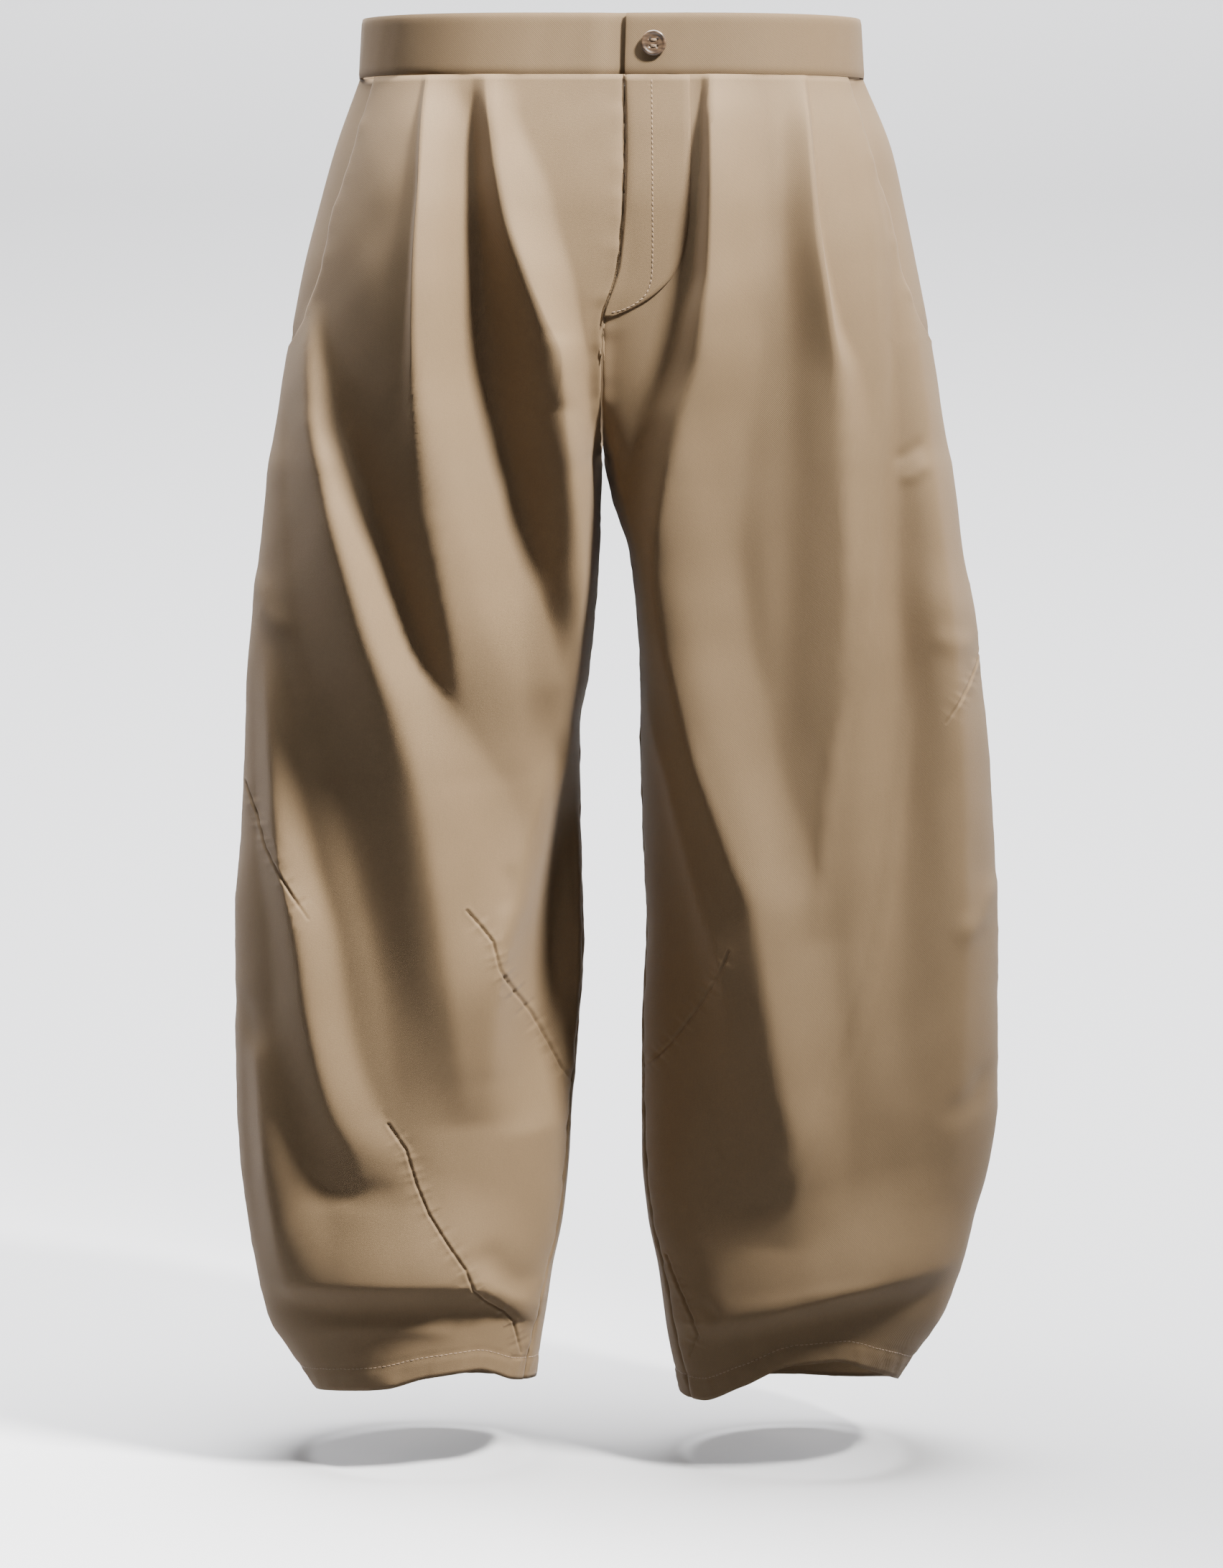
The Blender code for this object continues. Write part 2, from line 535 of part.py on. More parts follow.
def place(leg, half, share, turn, with_folds=True):
    """A point of the cloth's outer face. Turns past a seam carry on into the next panel."""
    share, turn = np.broadcast_arrays(np.asarray(share, float), np.asarray(turn, float))
    turn = np.mod(turn, 2.0) if half == "back" else turn
    wraps = turn < 0.0
    turn = np.where(wraps, turn + 2.0, turn)
    behind = turn > 1.0
    side_z = read(RUN, RUN_COLUMNS, "side_z", share)
    front_z = read(RUN, RUN_COLUMNS, "front_z", share)
    back_z = read(RUN, RUN_COLUMNS, "back_z", share)
    inner_z = np.where(behind, back_z, front_z)
    seam_y = np.where(
        behind, read(RUN, RUN_COLUMNS, "back_y", share), read(RUN, RUN_COLUMNS, "front_y", share)
    )
    inner_share = ease(np.where(behind, 2.0 - turn, turn))
    z = side_z + (inner_z - side_z) * inner_share
    middle_z = 0.5 * (side_z + inner_z)
    side_name = "right_side" if leg < 0 else "left_side"
    inner_name = "right_inner" if leg < 0 else "left_inner"
    side_x = read(OUTLINE, OUTLINE_COLUMNS, side_name, side_z)
    inner_x = read(OUTLINE, OUTLINE_COLUMNS, inner_name, inner_z)
    centre_back = np.where(share < CROTCH_SHARE, ease((CROTCH_SHARE - share) / 0.10), 0.0)
    inner_x = np.where(behind, inner_x * (1 - centre_back), inner_x)
    inner_y = np.where(
        behind,
        read(DEPTH, DEPTH_COLUMNS, "back_inner", middle_z),
        read(DEPTH, DEPTH_COLUMNS, "front_inner", middle_z),
    )
    crown_x = leg * read(DEPTH, DEPTH_COLUMNS, "crown", middle_z)
    front_y = read(DEPTH, DEPTH_COLUMNS, "front", middle_z)
    back_y = read(DEPTH, DEPTH_COLUMNS, "back", middle_z)
    outer_power = 2.0 / read(DEPTH, DEPTH_COLUMNS, "outer_full", middle_z)
    inner_power = 2.0 / read(DEPTH, DEPTH_COLUMNS, "inner_full", middle_z)
    back_power = 2.0 / read(DEPTH, DEPTH_COLUMNS, "back_full", middle_z)
    outermost_y = np.where(behind, back_y, front_y)
    mirrored = np.where(behind, 2.0 - turn, turn)
    on_side = mirrored <= 0.5
    angle = np.pi * np.where(on_side, mirrored, 1.0 - mirrored)
    power = np.where(behind, back_power, np.where(on_side, outer_power, inner_power))
    outwards = np.abs(np.cos(angle)) ** power
    forwards = np.abs(np.sin(angle)) ** power
    end_x = np.where(on_side, side_x, inner_x)
    end_y = np.where(on_side, 0.0, inner_y)
    x = crown_x + (end_x - crown_x) * outwards
    y = end_y + (outermost_y - end_y) * forwards
    tucked = np.where(on_side, 0.0, seam_y - inner_y)
    y = y + tucked * ease(1 - (1 - mirrored) / SEAM_TUCK)
    lift_name = "right" if leg < 0 else "left"
    lift = read(HEM_LIFT, HEM_COLUMNS, lift_name, turn)
    z = z + lift * ease((share - HEM_LIFT_FROM) / (1 - HEM_LIFT_FROM))
    if with_folds:
        widened = ease((share - WINDOW_WIDENS[0]) / (WINDOW_WIDENS[1] - WINDOW_WIDENS[0]))
        inner_reach = WINDOW_INNER[0] + (WINDOW_INNER[1] - WINDOW_INNER[0]) * widened
        window = ease(mirrored / WINDOW_OUTER) * ease((1.0 - mirrored) / inner_reach)
        ahead, lean = folds(leg, "front", x, z)
        astern, _ = folds(leg, "back", x, z)
        y = y + window * np.where(behind, astern, -ahead)
        x = x + window * np.where(behind, 0.0, lean)
    return np.stack([x, y, z], axis=-1)


def outward(leg, half, share, turn, with_folds=True):
    """Unit direction out of the cloth, the same for both panels at a seam."""
    share, turn = np.broadcast_arrays(np.asarray(share, float), np.asarray(turn, float))
    step = 0.004
    above_crotch = share < CROTCH_SHARE + 0.004
    turn_on = turn + step
    turn_off = turn - step
    if half == "front":
        turn_on = np.where(above_crotch, np.minimum(turn_on, 1.0), turn_on)
    else:
        turn_off = np.where(above_crotch, np.maximum(turn_off, 1.0 + 1e-6), turn_off)
    along_ring = (
        place(leg, half, share, turn_on, with_folds) - place(leg, half, share, turn_off, with_folds)
    )
    down_leg = (
        place(leg, half, np.minimum(share + step, 1.0), turn, with_folds)
        - place(leg, half, np.maximum(share - step, 0.0), turn, with_folds)
    )
    direction = np.cross(along_ring, down_leg) * leg
    length = np.linalg.norm(direction, axis=-1, keepdims=True)
    return direction / np.maximum(length, 1e-9)


def turn_at(leg, share, x):
    """Place round the front ring where it passes a distance from the middle, above the crotch."""
    low = np.zeros_like(share)
    high = np.full_like(share, 0.98)
    for _ in range(30):
        middle = 0.5 * (low + high)
        reached = leg * place(leg, "front", share, middle, False)[..., 0]
        inside = reached > leg * x
        low = np.where(inside, middle, low)
        high = np.where(inside, high, middle)
    return 0.5 * (low + high)


def row_shares():
    """Shares of length of the loft's rows, closer where the leg draws in above the hem."""
    shares = [0.0]
    start = 0.0
    for end, steps in ROW_STRETCHES:
        shares.extend(start + (end - start) * (i + 1) / steps for i in range(steps))
        start = end
    return np.array(shares)


def wall(name, outer, inner, material, collection):
    """A closed wall between two skins of points, each a grid of rows and columns."""
    rows, columns = outer.shape[:2]
    mesh = bpy.data.meshes.new(name)
    cloth = bmesh.new()
    skins = []
    for skin in (outer, inner):
        skins.append([[cloth.verts.new(point) for point in row] for row in skin.tolist()])
    top, under = skins
    for i in range(rows - 1):
        for j in range(columns - 1):
            cloth.faces.new((top[i][j], top[i + 1][j], top[i + 1][j + 1], top[i][j + 1]))
            cloth.faces.new((under[i][j], under[i][j + 1], under[i + 1][j + 1], under[i + 1][j]))
    edge = [(0, j) for j in range(columns)]
    edge += [(i, columns - 1) for i in range(1, rows)]
    edge += [(rows - 1, j) for j in range(columns - 2, -1, -1)]
    edge += [(i, 0) for i in range(rows - 2, 0, -1)]
    for k, (i, j) in enumerate(edge):
        m, n = edge[(k + 1) % len(edge)]
        cloth.faces.new((top[i][j], top[m][n], under[m][n], under[i][j]))
    bmesh.ops.recalc_face_normals(cloth, faces=cloth.faces)
    cloth.to_mesh(mesh)
    cloth.free()
    mesh.materials.append(material)
    mesh.shade_smooth()
    piece = bpy.data.objects.new(name, mesh)
    collection.objects.link(piece)
    return piece


def make_material(name, colour, roughness):
    """Plain material of one colour."""
    material = bpy.data.materials.new(name)
    material.use_nodes = True
    shader = material.node_tree.nodes["Principled BSDF"]
    shader.inputs["Base Color"].default_value = (*colour, 1.0)
    shader.inputs["Roughness"].default_value = roughness
    return material


def trim_to_middle(leg, half, share, points):
    """Keep a panel's points on its own side of the centre seam, half a seam gap away."""
    name = "right_inner" if leg < 0 else "left_inner"
    seam_x = read(OUTLINE, OUTLINE_COLUMNS, name, points[..., 2])
    if half == "back":
        seam_x = place(leg, "back", share, np.full_like(share, 1.0 + 1e-6), False)[..., 0]
    limit = seam_x + leg * 0.5 * SEAM_GAP
    above = share < CROTCH_SHARE + 0.004
    trimmed = np.where(leg > 0, np.maximum(points[..., 0], limit), np.minimum(points[..., 0], limit))
    points[..., 0] = np.where(above, trimmed, points[..., 0])
    return points


def part_seam(points, half):
    """Draw a panel's edge back from the seam line by half a gap, towards its own side."""
    towards = -1.0 if half == "front" else 1.0
    points[..., 1] += towards * 0.5 * SEAM_GAP
    return points


def cloth_depth(share):
    """Thickness of the wall: two layers where the hem is turned up."""
    hem_share = HEM_DEPTH / 0.945
    return CLOTH + (HEM_CLOTH - CLOTH) * ease((share - (1 - 1.6 * hem_share)) / (0.6 * hem_share))


def panel(leg, half, shares, turns):
    """Outer and inner skins of one panel from its rows and its places round the ring."""
    share = np.repeat(shares[:, None], turns.shape[1], axis=1)
    outer = place(leg, half, share, turns)
    direction = outward(leg, half, share, turns)
    inner = outer - direction * cloth_depth(share)[..., None]
    for skin in (outer, inner):
        part_seam(skin, half)
        trim_to_middle(leg, half, share, skin)
    return outer, inner


def front_turns(leg, shares):
    """Columns of a front: from the side edge or the pocket mouth, along the folds, to the inner edge."""
    side_z = read(RUN, RUN_COLUMNS, "side_z", shares)
    mouth = turn_at(leg, shares, leg * read(POCKET_MOUTH, POCKET_COLUMNS, "x", side_z))
    last = seam_turn(shares)
    steps = FRONT_COLUMNS[leg]
    lines = [np.where(side_z > POCKET_MOUTH[-1][0], mouth, 0.0)]
    fade = ease((-side_z - GUIDES_END[0]) / (GUIDES_END[1] - GUIDES_END[0]))
    for k, (rows, beside) in enumerate(GUIDES[leg]):
        x = read(rows, DOWN_COLUMNS, "x", side_z)
        if beside:
            x = x + (1 if beside == "plus" else -1) * read(rows, DOWN_COLUMNS, beside, side_z)
        even = last * sum(steps[:k + 1]) / sum(steps)
        lines.append(turn_at(leg, shares, x) * (1 - fade) + even * fade)
    lines.append(last)
    turns = []
    for count, start, end in zip(steps, lines[:-1], lines[1:]):
        turns.extend(start + (end - start) * i / count for i in range(count))
    turns.append(last)
    return np.stack(turns, axis=1)


def back_turns(shares):
    """Columns of a back: from the inner edge round to the side seam."""
    first = np.where(shares <= CROTCH_SHARE, 1.0 + 1e-6, seam_turn(shares))
    last = 2.0 - 1e-6
    turns = [first + (last - first) * i / BACK_COLUMNS for i in range(BACK_COLUMNS + 1)]
    return np.stack(turns, axis=1)


def build_panels(material, collection):
    """The four leg panels."""
    shares = row_shares()
    for leg, side in ((-1, "right"), (1, "left")):
        outer, inner = panel(leg, "front", shares, front_turns(leg, shares))
        wall("front_" + side, outer, inner, material, collection)
        outer, inner = panel(leg, "back", shares, back_turns(shares))
        wall("back_" + side, outer, inner, material, collection)


def build_pockets(material, collection):
    """The facing behind each pocket mouth, from the side seam to under the front's cut edge."""
    shares = row_shares()
    side_z = read(RUN, RUN_COLUMNS, "side_z", shares)
    count = int(np.sum(side_z > POCKET_MOUTH[-1][0])) + 1
    shares = shares[:count]
    for leg, side in ((-1, "right"), (1, "left")):
        front = front_turns(leg, shares)
        mouth = np.maximum(front[:, 0], POCKET_END_TURN)
        turns = [mouth * i / POCKET_STEPS for i in range(POCKET_STEPS + 1)]
        turns.extend(front[:, i] for i in range(1, POCKET_UNDER_STEPS + 1))
        turns = np.stack(turns, axis=1)
        share = np.repeat(shares[:, None], turns.shape[1], axis=1)
        face = place(leg, "front", share, turns)
        direction = outward(leg, "front", share, turns)
        is_open = ease((side_z[:count] - POCKET_MOUTH[-1][0]) / POCKET_CLOSES)[:, None]
        towards_side = 1.0 - ease(turns / mouth[:, None])
        depth = POCKET_DEPTH_UNDER * (1.0 - is_open * towards_side)
        outer = part_seam(face - direction * depth[..., None], "front")
        inner = outer - direction * POCKET_CLOTH
        wall("pocket_" + side, outer, inner, material, collection)


def on_left_front(x, z):
    """Share and turn of the left front's point seen from the front at a place and height."""
    run_z = column(RUN, RUN_COLUMNS, "side_z")[::-1]
    run_share = column(RUN, RUN_COLUMNS, "share")[::-1]
    share = np.interp(z, run_z, run_share)
    for _ in range(12):
        turn = turn_at(1, share, x)
        found = place(1, "front", share, turn, False)[..., 2]
        share = np.clip(share - (z - found) / 0.92, 0.0, 1.0)
    return share, turn_at(1, share, x)


def build_fly(material, collection):
    """The fly strip: lies on the left front from the centre edge, with a rounded lower end."""
    heights = np.linspace(0.0, 1.0, FLY_ROWS) ** 0.85
    heights = FLY_EDGE[0][0] + (FLY_EDGE[-1][0] - FLY_EDGE[0][0]) * heights
    reach = read(FLY_EDGE, FLY_EDGE_COLUMNS, "reach", heights)
    seam = read(OUTLINE, OUTLINE_COLUMNS, "left_inner", heights) + 0.5 * SEAM_GAP
    across = np.linspace(0.0, 1.0, FLY_COLUMNS) ** FLY_CROWDING
    x = seam[:, None] + 0.0002 + reach[:, None] * across[None, :]
    z = np.repeat(heights[:, None], FLY_COLUMNS, axis=1)
    share, turn = on_left_front(x, z)
    face = place(1, "front", share, turn)
    direction = outward(1, "front", share, turn)
    face[..., 0] = x
    direction[..., 0] = 0.0
    direction /= np.linalg.norm(direction, axis=-1, keepdims=True)
    inner = face + direction * SKIN_GAP
    outer = inner + direction * FLY_CLOTH
    wall("fly", outer, inner, material, collection)


def band_path():
    """The waistband's route at its lower edge: under end, right side, back, left side, over end.

    Gives points, directions out, and how far each is set in where the ends lap."""
    edge_x = OUTLINE[0][OUTLINE_COLUMNS.index("left_inner")]
    lap = np.linspace(edge_x + BAND_LAP, edge_x - BAND_LAP_EASE - 0.0035, 7)
    points = []
    directions = []
    drops = []
    share = np.zeros(7)
    turn_left = turn_at(1, share, np.maximum(lap, edge_x + 0.0005))
    turn_right = turn_at(-1, share, np.minimum(lap, edge_x - 0.0005))
    for i, x in enumerate(lap):
        leg = 1 if x > edge_x else -1
        turn = turn_left[i] if leg > 0 else turn_right[i]
        points.append(place(leg, "front", 0.0, turn, False))
        directions.append((0.0, -1.0, 0.0))
        drops.append(BAND_LAP_DROP * float(1.0 - ease((edge_x - 0.0015 - x) / BAND_LAP_EASE)))
    last_turn = turn_right[-1]
    for leg, half, start, end in (
        (-1, "front", last_turn, 0.0),
        (-1, "back", 2.0, 1.0),
        (1, "back", 1.0, 2.0),
        (1, "front", 0.0, float(turn_at(1, np.zeros(1), np.array([edge_x + 0.0004]))[0])),
    ):
        for k in range(1, BAND_STEPS + 1):
            turn = start + (end - start) * k / BAND_STEPS
            if half == "back":
                turn = float(np.clip(turn, 1.0 + 1e-6, 2.0 - 1e-6))
            point = place(leg, half, 0.0, turn, False)
            direction = outward(leg, half, 0.0, turn, False)
            flat = np.array([direction[0], direction[1], 0.0])
            if half == "back" and abs(turn - 1.0) < 1e-3:
                flat = np.array([0.0, 1.0, 0.0])
            if half == "back" and leg > 0 and k == 1:
                flat = np.array([direction[0], direction[1], 0.0])
            points.append(point)
            directions.append(flat / np.linalg.norm(flat))
            drops.append(0.0)
    return np.array(points), np.array(directions), np.array(drops)


def build_band(material, collection):
    """The waistband, a strip whose left end laps over the right one."""
    points, directions, drops = band_path()
    levels = (-BAND_HALF_HEIGHT, -0.5 * BAND_HALF_HEIGHT, 0.5 * BAND_HALF_HEIGHT, BAND_HALF_HEIGHT)
    outer = []
    inner = []
    for level in levels:
        taper = BAND_TAPER * (level + BAND_HALF_HEIGHT) / (2 * BAND_HALF_HEIGHT)
        face = points + directions * (BAND_PROUD - drops - taper)[:, None]
        face[:, 2] = level
        outer.append(face)
        inner.append(face - directions * BAND_CLOTH)
    wall("waistband", np.array(outer), np.array(inner), material, collection)
    return outer


def build_button(outer, material, collection):
    """A button on the over end of the waistband."""
    middle = 0.5 * (outer[1] + outer[2])
    edge = middle[-1]
    distance = np.linalg.norm(middle[-BAND_STEPS:, :2] - edge[:2], axis=1)
    spot = middle[-BAND_STEPS:][int(np.argmin(np.abs(distance - BUTTON_FROM_EDGE)))]
    nearby = np.abs(middle[-BAND_STEPS:, 0] - spot[0]) <= BUTTON_RADIUS + 0.004
    front = float(np.min(middle[-BAND_STEPS:, 1][nearby]))
    mesh = bpy.data.meshes.new("button")
    disc = bmesh.new()
    bmesh.ops.create_cone(
        disc, cap_ends=True, segments=24, radius1=BUTTON_RADIUS, radius2=BUTTON_RADIUS, depth=BUTTON_HEIGHT
    )
    bmesh.ops.rotate(disc, verts=disc.verts, cent=(0, 0, 0), matrix=Matrix.Rotation(0.5 * math.pi, 3, "X"))
    disc.to_mesh(mesh)
    disc.free()
    mesh.materials.append(material)
    piece = bpy.data.objects.new("button", mesh)
    piece.location = (spot[0], front - SEAM_GAP - 0.5 * BUTTON_HEIGHT, 0.0)
    bevel = piece.modifiers.new("rim", "BEVEL")
    bevel.width = 0.0006
    bevel.segments = 2
    collection.objects.link(piece)


def main():
    for old in list(bpy.data.objects):
        bpy.data.objects.remove(old, do_unlink=True)
    collection = bpy.data.collections.new(COLLECTION)
    bpy.context.scene.collection.children.link(collection)
    twill = make_material("twill", (0.30, 0.22, 0.145), 0.75)
    horn = make_material("button_horn", (0.10, 0.065, 0.04), 0.4)
    build_panels(twill, collection)
    build_pockets(twill, collection)
    build_fly(twill, collection)
    outer = build_band(twill, collection)
    build_button(outer, horn, collection)


main()
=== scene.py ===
"""Looks, light and camera of the barrel leg trousers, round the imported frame.

The cloth is the solids' form again, finer: every panel is a loft of rows down the leg round four
arcs, with the folds laid on it as ridges, then seams, darts, creases and puckers.
"""
import math

import bmesh
import bpy
import numpy as np
from mathutils import Matrix, Vector


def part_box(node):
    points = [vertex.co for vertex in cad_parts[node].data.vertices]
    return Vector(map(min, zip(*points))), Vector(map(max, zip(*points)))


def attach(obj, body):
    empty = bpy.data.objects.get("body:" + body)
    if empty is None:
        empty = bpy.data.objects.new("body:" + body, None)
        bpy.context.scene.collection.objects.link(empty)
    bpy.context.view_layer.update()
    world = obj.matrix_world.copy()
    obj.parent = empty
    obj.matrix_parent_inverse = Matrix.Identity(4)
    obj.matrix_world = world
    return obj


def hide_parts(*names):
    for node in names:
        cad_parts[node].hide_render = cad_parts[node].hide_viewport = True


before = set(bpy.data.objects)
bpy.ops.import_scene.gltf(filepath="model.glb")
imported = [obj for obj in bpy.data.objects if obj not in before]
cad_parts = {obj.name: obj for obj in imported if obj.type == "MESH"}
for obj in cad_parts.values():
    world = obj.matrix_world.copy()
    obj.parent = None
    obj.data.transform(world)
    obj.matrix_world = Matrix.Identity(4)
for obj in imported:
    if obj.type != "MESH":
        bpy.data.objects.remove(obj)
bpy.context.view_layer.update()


def metres(lengths):
    """Lengths, pairs of them or whole tables in millimetres, in metres."""
    if isinstance(lengths, tuple):
        return tuple(metres(entry) for entry in lengths)
    return lengths / 1000


# Camera and stage, worked out from the photo's view
CAMERA_DISTANCE = 3.2
CAMERA_HEIGHT = -0.135
CAMERA_PITCH = math.radians(6.6)
CAMERA_LENS = 106.2
FLOOR_Z = -0.981

# Cloth shells: thickness at the turned-up hem, share of it elsewhere, sizes for the weave's scale, how
# far out the legs' middles are, and the steps of rows and columns
SHELL = 0.0024
CLOTH_SHARE_OF_SHELL = 0.5
RING_LENGTH = 0.36
LEG_LENGTH = 0.925
LEG_CENTRE = 0.12
FINE_ROWS = ((0.154, 34), (0.204, 14), (0.34, 30), (0.78, 96), (1.0, 62))
FINE_FRONT = {-1: (24, 6, 12, 6, 34), 1: (34, 5, 22, 5, 16)}
FINE_BACK = 74

# Reading the loft: step to the neighbours that give a direction, how far below the crotch the centre
# seam still counts, how soon the seat seam runs straight, rounds of the two searches, the drop of one
# whole share, the last place round a front that they reach, and a hair's breadth off a seam
NORMAL_STEP = 0.004
NEAR_CROTCH = 0.004
CENTRE_BACK_EASE = 0.10
HALVINGS = 30
SEARCH_ROUNDS = 12
DROP_OF_LEG = 0.92
LAST_TURN = 0.98
A_LITTLE = 1e-6

# The one body
BODY = "root"

# Relief of the cloth over the loft's surface
FOLD_RISE = 1.15
SEAM_TUCK = 0.14
WINDOW_OUTER = 0.12
WINDOW_INNER = (0.03, 0.10)
WINDOW_WIDENS = (0.24, 0.42)
SWELL = 0.0007
SWELL_FROM = 0.03
SEAM_DEPTH = 0.0009
SEAM_WIDTH = 0.0022
SEAM_PUCKER = 0.0006
SEAM_PUCKER_WIDTH = 0.010
SEAM_PUCKER_LENGTH = 0.030
DART_DEPTH = 0.0015
DART_WIDTH = 0.0008
DART_LIP = 0.0002
DART_FADE = 0.025
DART_PUCKER = 0.0004
DART_PUCKER_WIDTH = 0.008
DART_PUCKER_LENGTH = 0.013
DART_PUCKER_FROM = 0.012
CREASE_FADE = 0.3
FINE_REACH = 0.005
FINE_CUTS = 4
HEM_STITCH_UP = 0.016
HEM_RISE = 0.0004
HEM_GROOVE = 0.0006
HEM_GROOVE_WIDTH = 0.0018
HEM_ROPING = 0.0005
HEM_ROPING_LENGTH = 0.017

# Seams, waistband, fly, pocket and button, as in the solids
SEAM_GAP = 0.0003
SKIN_GAP = 0.0006
BAND_HALF_HEIGHT = 0.020
BAND_CLOTH = 0.0026
BAND_PROUD = 0.0008
BAND_TAPER = 0.0025
BAND_LAP = 0.036
BAND_UNDER = 0.0215
BAND_LAP_STEPS = 7
BAND_LAP_DROP = 0.0036
BAND_RISE_FROM = 0.0015
BAND_RISE = 0.018
BAND_CLEAR = 0.0005
BAND_OVER_CLEAR = 0.0004
BAND_STEPS = 60
BAND_LEVELS = 13
BAND_ROUND = 0.0006
BAND_ROUND_HEIGHT = 0.003
BAND_WAVE = 0.0003
BAND_WAVE_LENGTH = 0.05
BAND_EDGE = 0.0007
FLY_CLOTH = 0.0010
FLY_ROWS = 70
FLY_COLUMNS = 24
FLY_CROWDING = 0.85
FLY_IN = 0.0002
FLY_ROLL = 0.0008
FLY_ROLL_FROM = 0.90
FLY_STITCH_POINTS = 160
FLY_STITCH = metres((
    (26.5, -24), (27, -80), (27.2, -130), (26.8, -150), (23.5, -163.5),
    (15, -171.5), (6, -175.5), (-1, -177),
))
POCKET_DEPTH_UNDER = 0.0029
POCKET_CLOSES = 0.020
POCKET_CLOTH = 0.0010
POCKET_STEPS = 14
POCKET_UNDER_STEPS = 3
POCKET_UNDER_TURN = 0.05
POCKET_UNDER_COLUMNS = 30
POCKET_END_TURN = 0.03

# Button: how far out and how high each ring of its profile is, as shares of its radius and depth
BUTTON_PROFILE = (
    (0.80, 0.00), (0.93, 0.08), (1.00, 0.35), (1.00, 0.62), (0.96, 0.86), (0.88, 1.00),
    (0.80, 0.98), (0.72, 0.82), (0.60, 0.74), (0.20, 0.72),
)
BUTTON_DISH = 0.72
BUTTON_SIDES = 48
BUTTON_HOLE = 0.0009
BUTTON_HOLE_FROM = 0.0020
BUTTON_STRANDS = 2

# Stitches: share of a stitch's length, its fatness there and how far its middle is over the cloth
STITCH_PROFILE = ((0.0, 0.35, -0.9), (0.12, 0.85, -0.1), (0.35, 1.0, 0.35), (0.65, 1.0, 0.35),
                  (0.88, 0.85, -0.1), (1.0, 0.35, -0.9))
STITCH_SIDES = 6
STITCH_PITCH = 0.0034
STITCH_LENGTH = 0.0029
STITCH_RADIUS = 0.00034
STITCH_REACH = 0.0005
HEM_STITCH_POINTS = 160
HEM_STITCH_IN = 0.004

# Colours, the button's two by their places on its ramp, and the sizes of the cloth's weave
TWILL_COLOUR = (0.168, 0.110, 0.056)
THREAD_COLOUR = (0.26, 0.175, 0.11)
HORN_COLOURS = ((0.35, (0.035, 0.020, 0.012)), (0.68, (0.17, 0.105, 0.060)))
TWILL_SCALE = 495.0
SPECKLE_SCALE = 900.0
SPECKLE = 0.20
SLUB_SCALE = 700.0
SLUB_STRETCH = (1.0, 0.16, 1.0)
TONE_SCALE = 9.0
SHEEN = 0.06

# Stage: a floor and a wall with a round bend between them
PAPER_COLOUR = (0.66, 0.66, 0.675)
WALL_Y = 1.6
BEND = 0.9
BEND_STEPS = 16
STAGE_REACH = 6.0
STAGE_SIDE = 7.0

# Lamps: name, kind, place, what it is aimed at, size, power, colour
LAMPS = (
    ("key", "SPOT", (1.72, -1.55, 2.31), (-0.555, -0.596, -0.45), 0.6, 2820.0, (1.0, 0.985, 0.955)),
    ("rim right", "AREA", (1.7, 0.9, 0.2), (0.1, 0.0, -0.5), 0.5, 8.0, (1.0, 0.90, 0.84)),
    ("rim left", "AREA", (-1.7, 0.9, 0.2), (-0.1, 0.0, -0.5), 0.5, 8.0, (1.0, 0.90, 0.84)),
    ("wall wash", "AREA", (0.0, 0.50, 2.6), (0.0, 1.6, -0.2), 2.4, 590.0, (0.98, 0.99, 1.0)),
)
KEY_CONE = math.radians(32.0)
KEY_BLEND = 0.24
ROOM_COLOUR = (0.97, 0.97, 1.0)
ROOM_STRENGTH = 0.19

# Height of the panels' top edge, under the waistband
TOP = -BAND_HALF_HEIGHT - SEAM_GAP

# Outline seen from the front, in millimetres: height, wearer's right side seam and inner edge, left
# inner edge and side seam
OUTLINE_COLUMNS = ("z", "right_side", "right_inner", "left_inner", "left_side")
OUTLINE = metres((
    (-20, -172, 8.5, 8.5, 172),
    (-68, -189.3, 9, 9, 191.8),
    (-107, -200.4, 8, 8, 200.9),
    (-146, -210.6, 5, 5, 209.1),
    (-186, -218.8, -6, -6, 217.3),
    (-225, -226.6, -6.5, -6.5, 224.1),
    (-265, -232.8, -6.5, -6, 230.4),
    (-284, -236.5, -6.2, -4, 235),
    (-304, -238.5, -6.6, 0.2, 238.1),
    (-344, -243.4, -8.2, 12.5, 242.8),
    (-384, -248.8, -11.5, 17, 251.5),
    (-424, -252, -15, 19.5, 256),
    (-464, -254, -21.5, 19.5, 260.5),
    (-524, -257, -21.3, 21.3, 265),
    (-605, -262.8, -19.3, 24, 269.3),
    (-687, -262.8, -23.4, 20.9, 270.6),
    (-728, -262.5, -27, 20.9, 270.5),
    (-769, -260.8, -30, 21.8, 265.3),
    (-810, -255.6, -34, 25.5, 255.1),
    (-851, -249.5, -41.5, 33.5, 246),
    (-892, -241, -46, 38.5, 233.5),
    (-913, -229.1, -49, 42, 222),
    (-945, -208, -54, 48, 201),
))

